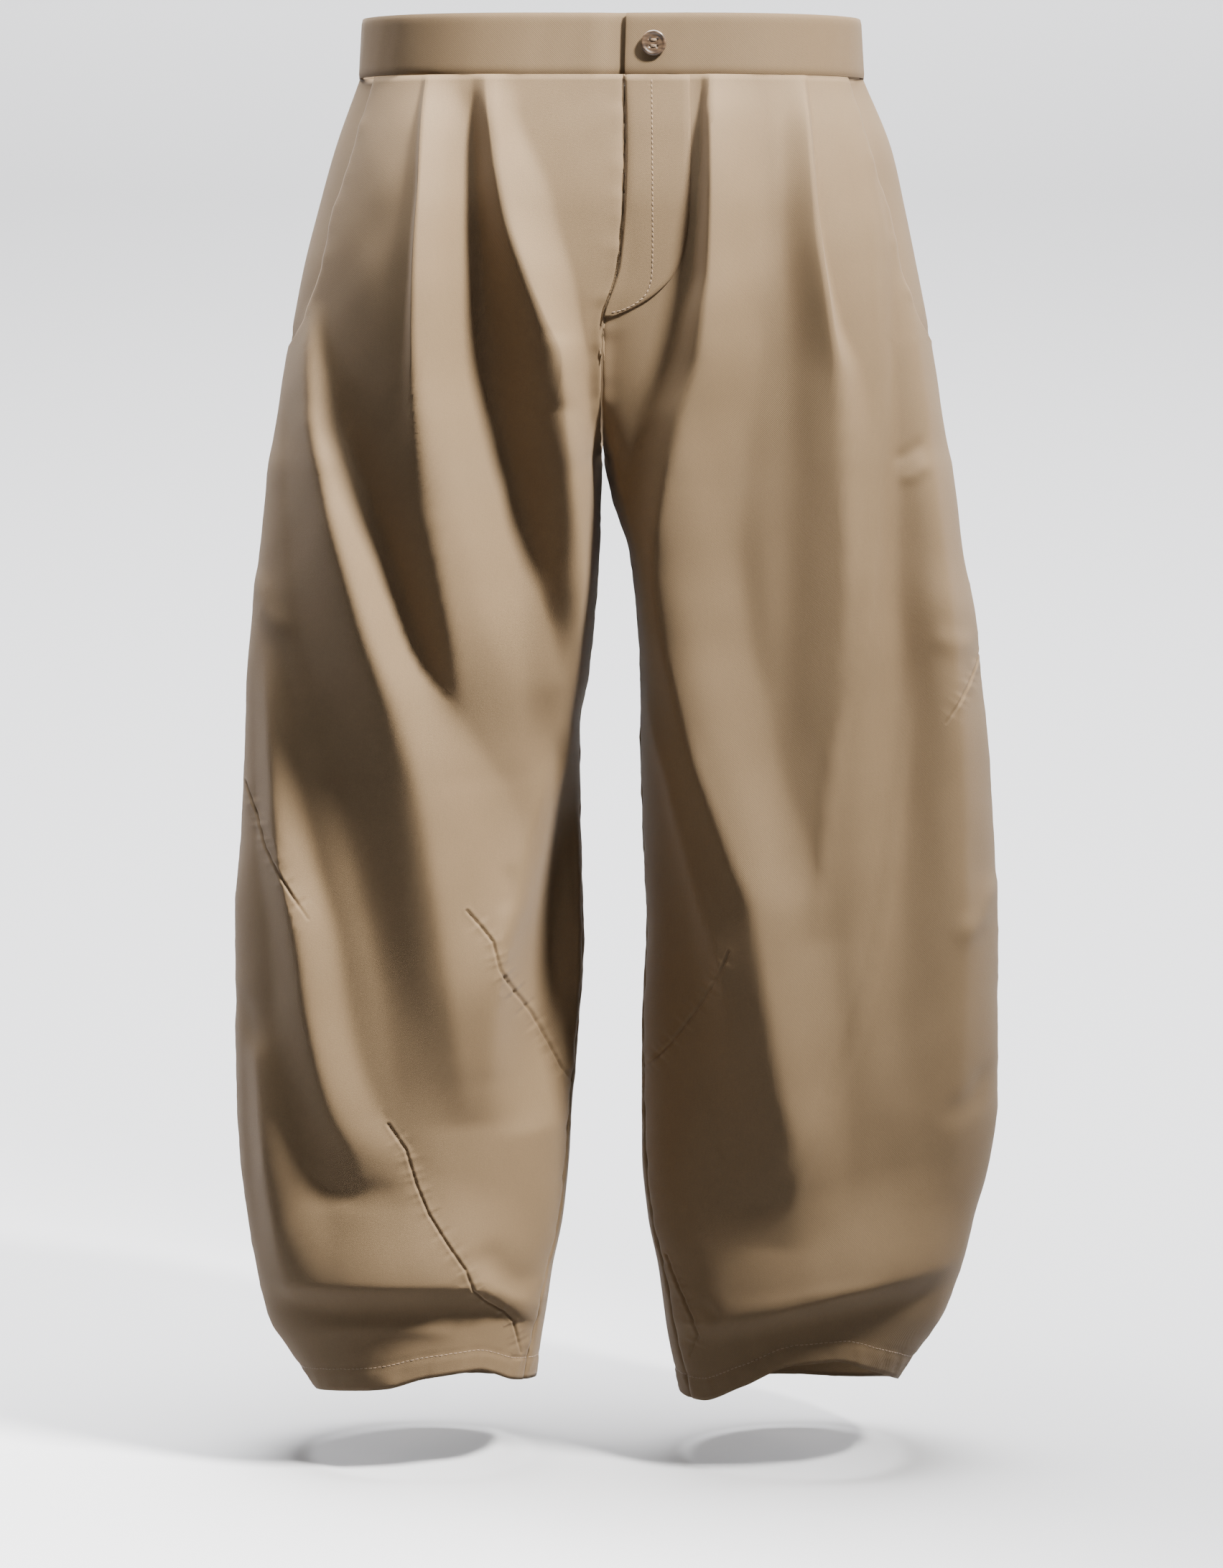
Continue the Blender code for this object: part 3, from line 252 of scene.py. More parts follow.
# Depth seen from the side, in metres: height, front and back, how far out the front is foremost, arc
# fullness, and the depth towards which the inner arcs of front and back run
DEPTH_COLUMNS = (
    "z", "front", "back", "crown", "outer_full", "inner_full", "back_full", "front_inner", "back_inner",
)
DEPTH = (
    (-0.020, -0.1110, 0.1110, 0.055, 2.15, 2.0, 2.1, -0.108, 0.112),
    (-0.060, -0.1200, 0.1280, 0.070, 2.20, 2.0, 2.1, -0.116, 0.127),
    (-0.110, -0.1270, 0.1400, 0.085, 2.25, 2.0, 2.2, -0.122, 0.138),
    (-0.160, -0.1290, 0.1440, 0.095, 2.30, 2.0, 2.2, -0.122, 0.138),
    (-0.220, -0.1260, 0.1400, 0.105, 2.30, 2.1, 2.2, -0.112, 0.118),
    (-0.290, -0.1210, 0.1270, 0.115, 2.30, 2.3, 2.2, -0.086, 0.084),
    (-0.370, -0.1160, 0.1120, 0.128, 2.25, 2.3, 2.2, -0.054, 0.045),
    (-0.460, -0.1110, 0.1000, 0.138, 2.20, 2.1, 2.1, -0.026, 0.020),
    (-0.560, -0.1080, 0.0940, 0.142, 2.15, 1.8, 2.1, -0.008, 0.006),
    (-0.660, -0.1040, 0.0930, 0.143, 2.15, 1.8, 2.1, 0.000, 0.000),
    (-0.760, -0.0950, 0.0900, 0.143, 2.15, 1.9, 2.1, 0.000, 0.000),
    (-0.840, -0.0850, 0.0850, 0.141, 2.10, 2.0, 2.1, 0.000, 0.000),
    (-0.900, -0.0780, 0.0800, 0.136, 2.05, 2.0, 2.0, 0.000, 0.000),
    (-0.945, -0.0740, 0.0770, 0.131, 2.00, 2.0, 2.0, 0.000, 0.000),
)

# Rows down the leg: share of length, then in metres the height at the side seam, and height and depth
# of the inner edge of front and back. The inner edges run down the centre seams to the crotch point,
# then down the inseam.
RUN_COLUMNS = ("share", "side_z", "front_z", "front_y", "back_z", "back_y")
CROTCH_SHARE = 0.34
RUN = (
    (0.000, TOP, TOP, -0.1080, TOP, 0.1120),
    (0.050, -0.066, -0.066, -0.1160, -0.069, 0.1290),
    (0.100, -0.112, -0.112, -0.1220, -0.119, 0.1400),
    (0.150, -0.158, -0.157, -0.1240, -0.166, 0.1420),
    (0.200, -0.204, -0.199, -0.1200, -0.208, 0.1300),
    (0.240, -0.241, -0.231, -0.1120, -0.238, 0.1040),
    (0.270, -0.268, -0.251, -0.0960, -0.256, 0.0680),
    (0.305, -0.298, -0.266, -0.0680, -0.268, 0.0240),
    (0.340, -0.328, -0.276, -0.0300, -0.276, -0.0300),
    (0.380, -0.364, -0.312, -0.0300, -0.312, -0.0300),
    (0.430, -0.410, -0.370, -0.0220, -0.370, -0.0220),
    (0.500, -0.474, -0.451, -0.0110, -0.451, -0.0110),
    (0.600, -0.567, -0.558, 0.0000, -0.558, 0.0000),
    (0.700, -0.660, -0.657, 0.0000, -0.657, 0.0000),
    (0.800, -0.755, -0.754, 0.0000, -0.754, 0.0000),
    (0.900, -0.849, -0.849, 0.0000, -0.849, 0.0000),
    (1.000, -0.944, -0.944, 0.0000, -0.944, 0.0000),
)

# Inseam: it creeps forward towards the hem. Share of length, place round the ring
INSEAM_COLUMNS = ("share", "turn")
INSEAM = (
    (0.34, 1.000),
    (0.60, 0.985),
    (0.85, 0.930),
    (1.00, 0.860),
)

# Hem edge above the last row's height: place round the ring, lift of right and left leg in metres
HEM_COLUMNS = ("turn", "right", "left")
HEM_LIFT = (
    (0.00, 0.010, 0.016),
    (0.10, 0.014, 0.022),
    (0.25, 0.020, 0.034),
    (0.40, 0.026, 0.045),
    (0.52, 0.034, 0.043),
    (0.66, 0.037, 0.026),
    (0.80, 0.026, 0.011),
    (1.00, 0.018, 0.008),
    (1.30, 0.004, 0.002),
    (1.60, 0.000, 0.000),
    (2.00, 0.010, 0.016),
)
HEM_LIFT_FROM = 0.86

# Slanted pocket mouth, in millimetres: height, distance of the cut edge from the middle
POCKET_COLUMNS = ("z", "x")
POCKET_MOUTH = metres((
    (-20, 160),
    (-45, 168),
    (-83, 179),
    (-113, 189),
    (-148, 196),
    (-166, 203),
    (-182, 209.5),
    (-205, 224),
))

# Fly strip, in millimetres: height, distance of its outer edge from the centre seam
FLY_EDGE_COLUMNS = ("z", "reach")
FLY_EDGE = metres((
    (-21, 43),
    (-110, 43),
    (-135, 41.5),
    (-152, 37),
    (-165, 29),
    (-174, 18),
    (-180, 4),
))

# Folds that run down a leg, in millimetres: height, place of the crest, its spread towards -X and +X,
# and how high it stands
DOWN_COLUMNS = ("z", "x", "minus", "plus", "height")
RIGHT_PLEAT = metres((
    (-20, -122, 5, 20, 2),
    (-50, -123.5, 6, 28, 5),
    (-100, -125.5, 6, 32, 6.5),
    (-150, -128, 7, 38, 7),
    (-190, -129, 9, 42, 6),
    (-240, -127, 14, 46, 4),
    (-300, -121.5, 22, 50, 0),
))
RIGHT_PLEAT_FLANK = metres((
    (-20, -122, 40, 22, 2),
    (-60, -124, 56, 30, 10),
    (-100, -125.5, 62, 34, 16),
    (-150, -128, 66, 40, 20),
    (-200, -129, 64, 44, 23),
    (-250, -126.5, 56, 50, 25),
    (-300, -121.5, 44, 60, 25),
    (-360, -112, 34, 66, 22),
    (-412, -104, 28, 70, 15),
    (-450, -101, 26, 70, 7),
    (-490, -100, 26, 70, 0),
))
RIGHT_PLEAT_VALLEY = metres((
    (-30, -93.5, 16, 10, 0),
    (-60, -91, 20, 12, -4),
    (-120, -88, 26, 22, -8),
    (-186, -85, 32, 40, -11),
    (-251, -75.6, 40, 44, -13),
    (-315, -56.5, 46, 34, -12),
    (-372, -44, 46, 24, -8),
    (-428, -33, 40, 16, 0),
))
RIGHT_THIGH_FOLD = metres((
    (-190, -34, 40, 14, 0),
    (-215, -32.5, 44, 15, 9),
    (-240, -30, 46, 16, 17),
    (-285, -25, 48, 17, 21),
    (-350, -20, 46, 16, 21),
    (-410, -23, 38, 16, 15),
    (-450, -27, 32, 16, 7),
    (-480, -30, 30, 16, 0),
))
RIGHT_INNER_FOLD = metres((
    (-20, -83, 10, 14, 3),
    (-50, -80.5, 12, 20, 10),
    (-105, -72, 18, 34, 15),
    (-150, -57.5, 28, 32, 19),
    (-185, -43, 38, 24, 19),
    (-210, -33, 44, 18, 12),
    (-240, -29, 46, 15, 0),
))
RIGHT_POCKET_FOLD = metres((
    (-170, -202, 12, 14, 0),
    (-200, -204, 15, 17, 12),
    (-250, -201, 20, 22, 20),
    (-292, -193, 28, 30, 24),
    (-348, -177, 40, 34, 26),
    (-396, -161.5, 50, 36, 26),
    (-450, -142, 56, 44, 23),
    (-500, -128, 58, 60, 21),
    (-560, -118, 54, 70, 20),
    (-620, -110, 50, 70, 18),
    (-680, -103, 48, 62, 11),
    (-730, -98, 44, 60, 0),
))
RIGHT_OUTER_FOLD = metres((
    (-400, -235, 10, 14, 0),
    (-450, -233, 12, 20, 10),
    (-500, -230, 14, 24, 15),
    (-550, -225, 18, 28, 18),
    (-600, -214, 22, 30, 18),
    (-650, -207, 26, 30, 17),
    (-690, -199, 30, 32, 15),
    (-720, -190, 32, 36, 12),
    (-750, -175, 34, 44, 7),
    (-785, -165, 34, 50, 0),
))
RIGHT_SHIN_FOLD = metres((
    (-660, -244, 10, 30, 0),
    (-700, -242, 12, 34, 10),
    (-750, -239, 14, 40, 15),
    (-800, -233, 16, 44, 12),
    (-840, -226, 18, 40, 5),
    (-860, -220, 18, 40, 0),
))
RIGHT_KNEE_EDGE = metres((
    (-430, -24, 30, 10, 0),
    (-465, -27, 34, 12, 7),
    (-500, -36, 38, 18, 12),
    (-540, -47, 40, 24, 15),
    (-580, -59, 42, 28, 16),
    (-610, -70, 42, 32, 14),
    (-650, -78, 42, 36, 8),
    (-700, -80, 42, 36, 0),
))
RIGHT_KNEE_HOLLOW = metres((
    (-460, -32, 12, 14, 0),
    (-500, -34, 16, 18, -13),
    (-535, -37, 22, 22, -25),
    (-575, -40, 28, 26, -33),
    (-620, -43, 36, 28, -34),
    (-680, -46, 38, 30, -22),
    (-740, -48, 38, 30, 0),
))
LEFT_FLY_FOLD = metres((
    (-20, 65.5, 7, 30, 4),
    (-50, 66, 8, 36, 12),
    (-90, 66.5, 10, 38, 16),
    (-150, 65, 13, 40, 18),
    (-180, 62, 18, 42, 20),
    (-205, 59, 22, 44, 21),
    (-250, 47, 28, 48, 21),
    (-300, 37, 30, 54, 22),
    (-340, 31, 24, 58, 24),
    (-390, 35, 22, 60, 25),
    (-430, 45, 26, 60, 25),
    (-476, 57, 32, 58, 24),
    (-540, 81, 40, 55, 22),
    (-580, 97, 46, 52, 21),
    (-650, 108, 50, 50, 19),
    (-700, 116, 54, 46, 18),
    (-750, 126, 56, 38, 14),
    (-785, 125, 52, 36, 7),
    (-815, 115, 46, 34, 0),
))
LEFT_PLEAT = metres((
    (-20, 127, 14, 4, 2),
    (-50, 128.5, 17, 5, 8),
    (-121, 133, 22, 6, 13),
    (-160, 138.5, 28, 8, 14),
    (-186, 142.4, 32, 11, 13),
    (-220, 148, 38, 20, 11),
    (-300, 153, 44, 30, 9),
    (-380, 155, 44, 36, 8),
    (-460, 148, 40, 40, 7),
    (-540, 142, 36, 44, 5),
    (-600, 140, 34, 46, 0),
))
LEFT_OUTER_FOLD = metres((
    (-90, 193, 26, 16, 0),
    (-150, 200, 30, 18, 5),
    (-220, 209, 34, 20, 10),
    (-300, 219, 38, 22, 13),
    (-380, 229, 42, 24, 14),
    (-460, 236, 46, 26, 14),
    (-540, 240, 50, 28, 14),
    (-620, 241, 54, 30, 12),
    (-700, 239, 56, 30, 8),
    (-790, 232, 54, 30, 0),
))
LEFT_OUTER_VALLEY = metres((
    (-60, 180, 10, 22, 0),
    (-120, 186, 12, 26, -5),
    (-200, 190, 14, 30, -8),
    (-300, 192, 20, 36, -10),
    (-370, 193, 26, 40, -11),
    (-460, 196, 32, 44, -10),
    (-550, 198, 36, 46, -8),
    (-640, 198, 36, 46, -5),
    (-720, 196, 36, 46, 0),
))
LEFT_KNEE_EDGE = metres((
    (-400, 21, 10, 30, 0),
    (-445, 24, 12, 34, 7),
    (-490, 36, 18, 38, 12),
    (-530, 46, 24, 40, 15),
    (-570, 58, 28, 42, 15),
    (-610, 71, 34, 42, 13),
    (-650, 78, 36, 42, 7),
    (-700, 80, 36, 42, 0),
))
LEFT_CREASE = metres((
    (-40, 170, 6, 6, 0),
    (-80, 175, 6, 6, 1),
    (-138, 184, 6, 6, 1.2),
    (-222, 184, 8, 6, 1.4),
    (-300, 177, 8, 6, 1.4),
    (-352, 172, 8, 6, 1.6),
    (-390, 166.5, 8, 6, 1.8),
    (-424, 159.5, 8, 6, 1.8),
    (-476, 147.5, 8, 7, 1.4),
    (-542, 140.5, 8, 7, 1),
    (-600, 138, 8, 7, 0),
))
LEFT_LOWER_CREASE = metres((
    (-430, 198, 7, 7, 0),
    (-470, 196, 7, 8, 1.4),
    (-520, 192, 7, 8, 1.8),
    (-590, 183.5, 7, 9, 2),
    (-653, 168, 7, 9, 2.2),
    (-720, 146.4, 7, 9, 2),
    (-757, 132, 7, 9, 1.4),
    (-790, 122, 7, 9, 0),
))

# Folds that run across a leg, in millimetres: place along X, height of the crest, its spread up and
# down, and how high it stands
ACROSS_COLUMNS = ("x", "z", "up", "down", "height")
RIGHT_ANKLE_ROLL = metres((
    (-262, -850, 60, 20, 0),
    (-235, -846, 70, 22, 7),
    (-200, -842, 80, 24, 12),
    (-160, -840, 85, 24, 14),
    (-120, -840, 80, 24, 13),
    (-85, -846, 75, 22, 10),
    (-55, -862, 70, 20, 7),
    (-30, -872, 65, 18, 0),
))
LEFT_ANKLE_ROLL = metres((
    (20, -885, 70, 18, 0),
    (50, -876, 75, 20, 6),
    (80, -868, 80, 22, 11),
    (120, -856, 80, 24, 15),
    (160, -844, 80, 26, 16),
    (200, -836, 80, 26, 14),
    (235, -832, 75, 24, 8),
    (265, -830, 70, 22, 0),
))

# Back folds of the left leg, mirrored on the right: under the seat, behind the knee, at the calf and
# above the hem
BACK_SEAT_FOLD = metres((
    (10, -300, 30, 28, 0),
    (45, -305, 34, 30, 8),
    (90, -318, 36, 32, 10),
    (140, -340, 34, 30, 8),
    (190, -365, 30, 26, 4),
    (225, -380, 28, 24, 0),
))
BACK_KNEE_FOLD = metres((
    (30, -560, 34, 30, 0),
    (70, -552, 38, 34, 8),
    (120, -540, 40, 36, 11),
    (175, -522, 38, 34, 8),
    (225, -505, 32, 30, 0),
))
BACK_CALF_FOLD = metres((
    (45, -700, 36, 34, 0),
    (90, -712, 42, 38, 8),
    (140, -728, 44, 40, 11),
    (190, -745, 40, 36, 7),
    (235, -757, 34, 30, 0),
))
BACK_ANKLE_ROLL = metres((
    (40, -866, 70, 24, 0),
    (80, -860, 80, 28, 12),
    (130, -852, 90, 30, 16),
    (180, -846, 85, 30, 13),
    (235, -842, 70, 26, 0),
))

# Of each fold: sharpness of its crest, lean of the crest as a share of its height, sharpness of its
# foot
FRONT_DOWN = {
    -1: (
        (RIGHT_PLEAT, 1.2, -0.30, 2.0),
        (RIGHT_PLEAT_FLANK, 1.3, 0.0, 1.5),
        (RIGHT_PLEAT_VALLEY, 1.6, 0.0, 1.6),
        (RIGHT_THIGH_FOLD, 1.5, 0.0, 1.6),
        (RIGHT_INNER_FOLD, 1.4, 0.0, 1.6),
        (RIGHT_POCKET_FOLD, 1.4, 0.0, 1.6),
        (RIGHT_OUTER_FOLD, 1.4, 0.0, 1.6),
        (RIGHT_SHIN_FOLD, 1.5, 0.0, 2.0),
        (RIGHT_KNEE_EDGE, 1.1, 0.0, 2.0),
        (RIGHT_KNEE_HOLLOW, 1.8, 0.0, 1.8),
    ),
    1: (
        (LEFT_FLY_FOLD, 1.4, -0.10, 1.6),
        (LEFT_PLEAT, 1.2, 0.25, 1.8),
        (LEFT_OUTER_FOLD, 1.4, 0.0, 1.6),
        (LEFT_OUTER_VALLEY, 1.6, 0.0, 1.8),
        (LEFT_KNEE_EDGE, 1.1, 0.0, 2.0),
        (LEFT_CREASE, 1.3, 0.0, 2.0),
        (LEFT_LOWER_CREASE, 1.3, 0.0, 2.0),
    ),
}
FRONT_ACROSS = {-1: ((RIGHT_ANKLE_ROLL, 1.5),), 1: ((LEFT_ANKLE_ROLL, 1.5),)}
BACK_ACROSS = (
    (BACK_SEAT_FOLD, 1.5),
    (BACK_KNEE_FOLD, 1.5),
    (BACK_CALF_FOLD, 1.5),
    (BACK_ANKLE_ROLL, 1.5),
)

# Sewn darts and seams of the fronts, as points (x, z) seen from the front
RIGHT_KNEE_INNER_DART = metres((
    (-97, -578), (-85, -593), (-80, -600), (-75, -620), (-66, -640),
    (-55, -660), (-45, -680), (-35, -700), (-24, -717),
))
RIGHT_KNEE_OUTER_DART = metres((
    (-252, -500), (-242, -520), (-235, -540), (-225, -555), (-215, -570),
    (-205, -585),
))
RIGHT_ANKLE_DART = metres((
    (-152, -727), (-140, -745), (-133, -770), (-125, -790), (-113, -810),
    (-100, -830), (-95, -845), (-85, -857), (-75, -865), (-68, -875),
    (-63, -900),
))
LEFT_KNEE_INNER_DART = metres(((79, -607), (70, -630), (60, -650), (40, -680), (20, -705)))
LEFT_KNEE_OUTER_DART = metres(((256, -410), (249, -420), (238, -436), (226, -453)))
LEFT_ANKLE_SEAM = metres(((38, -832), (45, -850), (55, -870), (60, -885), (55, -902)))
DARTS = {
    "front_right": (RIGHT_KNEE_INNER_DART, RIGHT_KNEE_OUTER_DART, RIGHT_ANKLE_DART),
    "front_left": (LEFT_KNEE_INNER_DART, LEFT_KNEE_OUTER_DART, LEFT_ANKLE_SEAM),
}

# Soft lines in the cloth, in millimetres: points (x, z), half width, height over the surface
CREASES = {
    "front_right": metres((
        (((-226, -886), (-200, -877), (-160, -873), (-98, -878)), 6, 1.8),
        (((-104, -826), (-85, -846), (-66, -866), (-48, -884)), 7, 2.2),
        (((-94, -812), (-74, -834), (-52, -858)), 10, -2.4),
        (((-215, -772), (-178, -778), (-136, -772)), 9, -2),
        (((-69, -548), (-68, -566), (-72, -584)), 4, -2.2),
        (((-205, -235), (-196, -262), (-182, -290)), 7, 1.2),
        (((-152, -905), (-148, -930)), 10, 1.2),
        (((-244, -350), (-234, -380), (-212, -398)), 8, 2),
        (((-258, -640), (-252, -664), (-236, -684)), 8, -2),
    )),
    "front_left": metres((
        (((212, -262), (199, -272), (186, -276)), 4, -1.4),
        (((216, -276), (203, -286), (190, -290)), 4, 1.2),
        (((70, -866), (94, -858), (140, -846), (200, -838)), 6, 1.2),
        (((62, -858), (74, -872)), 4, -1.8),
        (((170, -885), (172, -912)), 10, 1.2),
        (((118, -100), (120, -300), (118, -500)), 10, -1.2),
        (((252, -404), (230, -400), (214, -392)), 7, 1.4),
        (((264, -560), (252, -590), (230, -604)), 9, 2.4),
        (((262, -690), (250, -716), (222, -728)), 9, -2.2),
    )),
    "back_right": metres((
        (((-55, -215), (-100, -252), (-160, -272)), 14, 4.2),
        (((-45, -262), (-85, -330), (-105, -430)), 18, -5),
        (((-205, -240), (-190, -330), (-150, -420)), 18, 4.6),
        (((-190, -425), (-125, -462), (-70, -474)), 14, 4.6),
        (((-240, -470), (-200, -500), (-150, -505)), 12, -3.4),
        (((-215, -600), (-160, -640), (-85, -655)), 16, 4.6),
        (((-250, -660), (-225, -700), (-180, -716)), 12, 3.6),
        (((-70, -760), (-110, -790), (-165, -795)), 14, -4),
    )),
    "back_left": metres((
        (((50, -228), (110, -244), (175, -290)), 14, 4.4),
        (((60, -275), (120, -345), (135, -440)), 20, -5.2),
        (((215, -215), (205, -300), (175, -400)), 16, 4),
        (((200, -405), (135, -450), (60, -470)), 14, 4.8),
        (((245, -520), (205, -535), (160, -560)), 14, -3.8),
        (((225, -625), (150, -652), (75, -640)), 16, 4.8),
        (((60, -700), (95, -752), (150, -778)), 14, 3.6),
        (((255, -745), (220, -772), (170, -780)), 12, -3.4),
    )),
}

# Columns of a front that follow a fold: its table, and the side of the crest that the column runs on
GUIDES = {
    -1: ((RIGHT_PLEAT, "minus"), (RIGHT_PLEAT, None), (RIGHT_INNER_FOLD, "minus"),
         (RIGHT_INNER_FOLD, None)),
    1: ((LEFT_PLEAT, "plus"), (LEFT_PLEAT, None), (LEFT_FLY_FOLD, None), (LEFT_FLY_FOLD, "minus")),
}
GUIDES_END = (0.20, 0.34)


def column(rows, names, name):
    """One named column of a table as an array."""
    return np.array([row[names.index(name)] for row in rows], dtype=float)


def smooth(at, stations, values):
    """Read a table between its stations along a curve that never overshoots them."""
    step = np.diff(stations)
    slope = np.diff(values) / step
    tangent = np.zeros(len(values))
    tangent[0] = slope[0]
    tangent[-1] = slope[-1]
    same_way = slope[:-1] * slope[1:] > 0.0
    before = slope[:-1][same_way]
    after = slope[1:][same_way]
    tangent[1:-1][same_way] = 2.0 * before * after / (before + after)
    at = np.clip(at, stations[0], stations[-1])
    left = np.clip(np.searchsorted(stations, at, side="right") - 1, 0, len(step) - 1)
    width = step[left]
    s = (at - stations[left]) / width
    return (
        (1 + 2 * s) * (1 - s) ** 2 * values[left]
        + s * (1 - s) ** 2 * width * tangent[left]
        + s * s * (3 - 2 * s) * values[left + 1]
        + s * s * (s - 1) * width * tangent[left + 1]
    )


def read(rows, names, name, at):
    """Read a named column of a table at values of its first column, in either order."""
    stations = column(rows, names, names[0])
    values = column(rows, names, name)
    if stations[0] > stations[-1]:
        stations = stations[::-1]
        values = values[::-1]
    return smooth(at, stations, values)


def ease(t):
    """Smooth step from 0 to 1."""
    t = np.clip(t, 0.0, 1.0)
    return t * t * (3 - 2 * t)


def fold(across, along, rows, names, power=1.5, foot=2.0):
    """Height of one ridge: highest on its crest line, fading out over its spread on each side."""
    place = read(rows, names, names[1], along)
    low = read(rows, names, names[2], along)
    high = read(rows, names, names[3], along)
    if names is ACROSS_COLUMNS:
        low, high = high, low
    height = read(rows, names, names[4], along)
    offset = across - place
    share = np.clip(np.abs(offset) / np.where(offset < 0, low, high), 0.0, 1.0)
    first = rows[0][0]
    last = rows[-1][0]
    inside = (along >= min(first, last)) & (along <= max(first, last))
    return np.where(inside, FOLD_RISE * height * (1 - share ** power) ** foot, 0.0)


def folds(leg, half, x, z):
    """Sum of the ridges on one side of one leg, and how far their crests lean sideways."""
    total = np.zeros(np.broadcast(x, z).shape)
    lean = np.zeros(total.shape)
    if half == "front":
        for rows, power, leans, foot in FRONT_DOWN[leg]:
            height = fold(x, z, rows, DOWN_COLUMNS, power, foot)
            total = total + height
            lean = lean + leans * height
        for rows, power in FRONT_ACROSS[leg]:
            total = total + fold(z, x, rows, ACROSS_COLUMNS, power)
    else:
        for rows, power in BACK_ACROSS:
            total = total + fold(z, leg * x, rows, ACROSS_COLUMNS, power)
    return total, lean


def seam_turn(share):
    """Place of the inseam round the ring: 0 side, 0.5 front, 1 inner leg, 1.5 back, 2 side."""
    return np.where(share <= CROTCH_SHARE, 1.0, read(INSEAM, INSEAM_COLUMNS, "turn", share))


def place(leg, half, share, turn, with_folds=True):
    """A point of the cloth's outer face. Turns past a seam carry on into the next panel."""
    share, turn = np.broadcast_arrays(np.asarray(share, float), np.asarray(turn, float))
    turn = np.mod(turn, 2.0) if half == "back" else turn
    wraps = turn < 0.0
    turn = np.where(wraps, turn + 2.0, turn)
    behind = turn > 1.0
    side_z = read(RUN, RUN_COLUMNS, "side_z", share)
    front_z = read(RUN, RUN_COLUMNS, "front_z", share)
    back_z = read(RUN, RUN_COLUMNS, "back_z", share)
    inner_z = np.where(behind, back_z, front_z)
    seam_y = np.where(
        behind,
        read(RUN, RUN_COLUMNS, "back_y", share),
        read(RUN, RUN_COLUMNS, "front_y", share),
    )
    inner_share = ease(np.where(behind, 2.0 - turn, turn))
    z = side_z + (inner_z - side_z) * inner_share
    middle_z = 0.5 * (side_z + inner_z)
    side_name = "right_side" if leg < 0 else "left_side"
    inner_name = "right_inner" if leg < 0 else "left_inner"
    side_x = read(OUTLINE, OUTLINE_COLUMNS, side_name, side_z)
    inner_x = read(OUTLINE, OUTLINE_COLUMNS, inner_name, inner_z)
    centre_back = np.where(share < CROTCH_SHARE, ease((CROTCH_SHARE - share) / CENTRE_BACK_EASE), 0.0)
    inner_x = np.where(behind, inner_x * (1 - centre_back), inner_x)
    inner_y = np.where(
        behind,
        read(DEPTH, DEPTH_COLUMNS, "back_inner", middle_z),
        read(DEPTH, DEPTH_COLUMNS, "front_inner", middle_z),
    )
    crown_x = leg * read(DEPTH, DEPTH_COLUMNS, "crown", middle_z)
    front_y = read(DEPTH, DEPTH_COLUMNS, "front", middle_z)
    back_y = read(DEPTH, DEPTH_COLUMNS, "back", middle_z)
    outer_power = 2.0 / read(DEPTH, DEPTH_COLUMNS, "outer_full", middle_z)
    inner_power = 2.0 / read(DEPTH, DEPTH_COLUMNS, "inner_full", middle_z)
    back_power = 2.0 / read(DEPTH, DEPTH_COLUMNS, "back_full", middle_z)
    outermost_y = np.where(behind, back_y, front_y)
    mirrored = np.where(behind, 2.0 - turn, turn)
    on_side = mirrored <= 0.5
    angle = np.pi * np.where(on_side, mirrored, 1.0 - mirrored)
    power = np.where(behind, back_power, np.where(on_side, outer_power, inner_power))
    outwards = np.abs(np.cos(angle)) ** power
    forwards = np.abs(np.sin(angle)) ** power
    end_x = np.where(on_side, side_x, inner_x)
    end_y = np.where(on_side, 0.0, inner_y)
    x = crown_x + (end_x - crown_x) * outwards
    y = end_y + (outermost_y - end_y) * forwards
    tucked = np.where(on_side, 0.0, seam_y - inner_y)
    y = y + tucked * ease(1 - (1 - mirrored) / SEAM_TUCK)
    lift = read(HEM_LIFT, HEM_COLUMNS, "right" if leg < 0 else "left", turn)
    z = z + lift * ease((share - HEM_LIFT_FROM) / (1 - HEM_LIFT_FROM))
    if with_folds:
        widened = ease((share - WINDOW_WIDENS[0]) / (WINDOW_WIDENS[1] - WINDOW_WIDENS[0]))
        inner_reach = WINDOW_INNER[0] + (WINDOW_INNER[1] - WINDOW_INNER[0]) * widened
        window = ease(mirrored / WINDOW_OUTER) * ease((1.0 - mirrored) / inner_reach)
        ahead, lean = folds(leg, "front", x, z)
        astern, _ = folds(leg, "back", x, z)
        y = y + window * np.where(behind, astern, -ahead)
        x = x + window * np.where(behind, 0.0, lean)
    return np.stack([x, y, z], axis=-1)


def outward(leg, half, share, turn, with_folds=True):
    """Unit direction out of the cloth, the same for both panels at a seam."""
    share, turn = np.broadcast_arrays(np.asarray(share, float), np.asarray(turn, float))
    above_crotch = share < CROTCH_SHARE + NEAR_CROTCH
    turn_on = turn + NORMAL_STEP
    turn_off = turn - NORMAL_STEP
    if half == "front":
        turn_on = np.where(above_crotch, np.minimum(turn_on, 1.0), turn_on)
    else:
        turn_off = np.where(above_crotch, np.maximum(turn_off, 1.0 + A_LITTLE), turn_off)
    along_ring = (
        place(leg, half, share, turn_on, with_folds)
        - place(leg, half, share, turn_off, with_folds)
    )
    down_leg = (
        place(leg, half, np.minimum(share + NORMAL_STEP, 1.0), turn, with_folds)
        - place(leg, half, np.maximum(share - NORMAL_STEP, 0.0), turn, with_folds)
    )
    direction = np.cross(along_ring, down_leg) * leg
    length = np.linalg.norm(direction, axis=-1, keepdims=True)
    return direction / np.maximum(length, 1e-9)


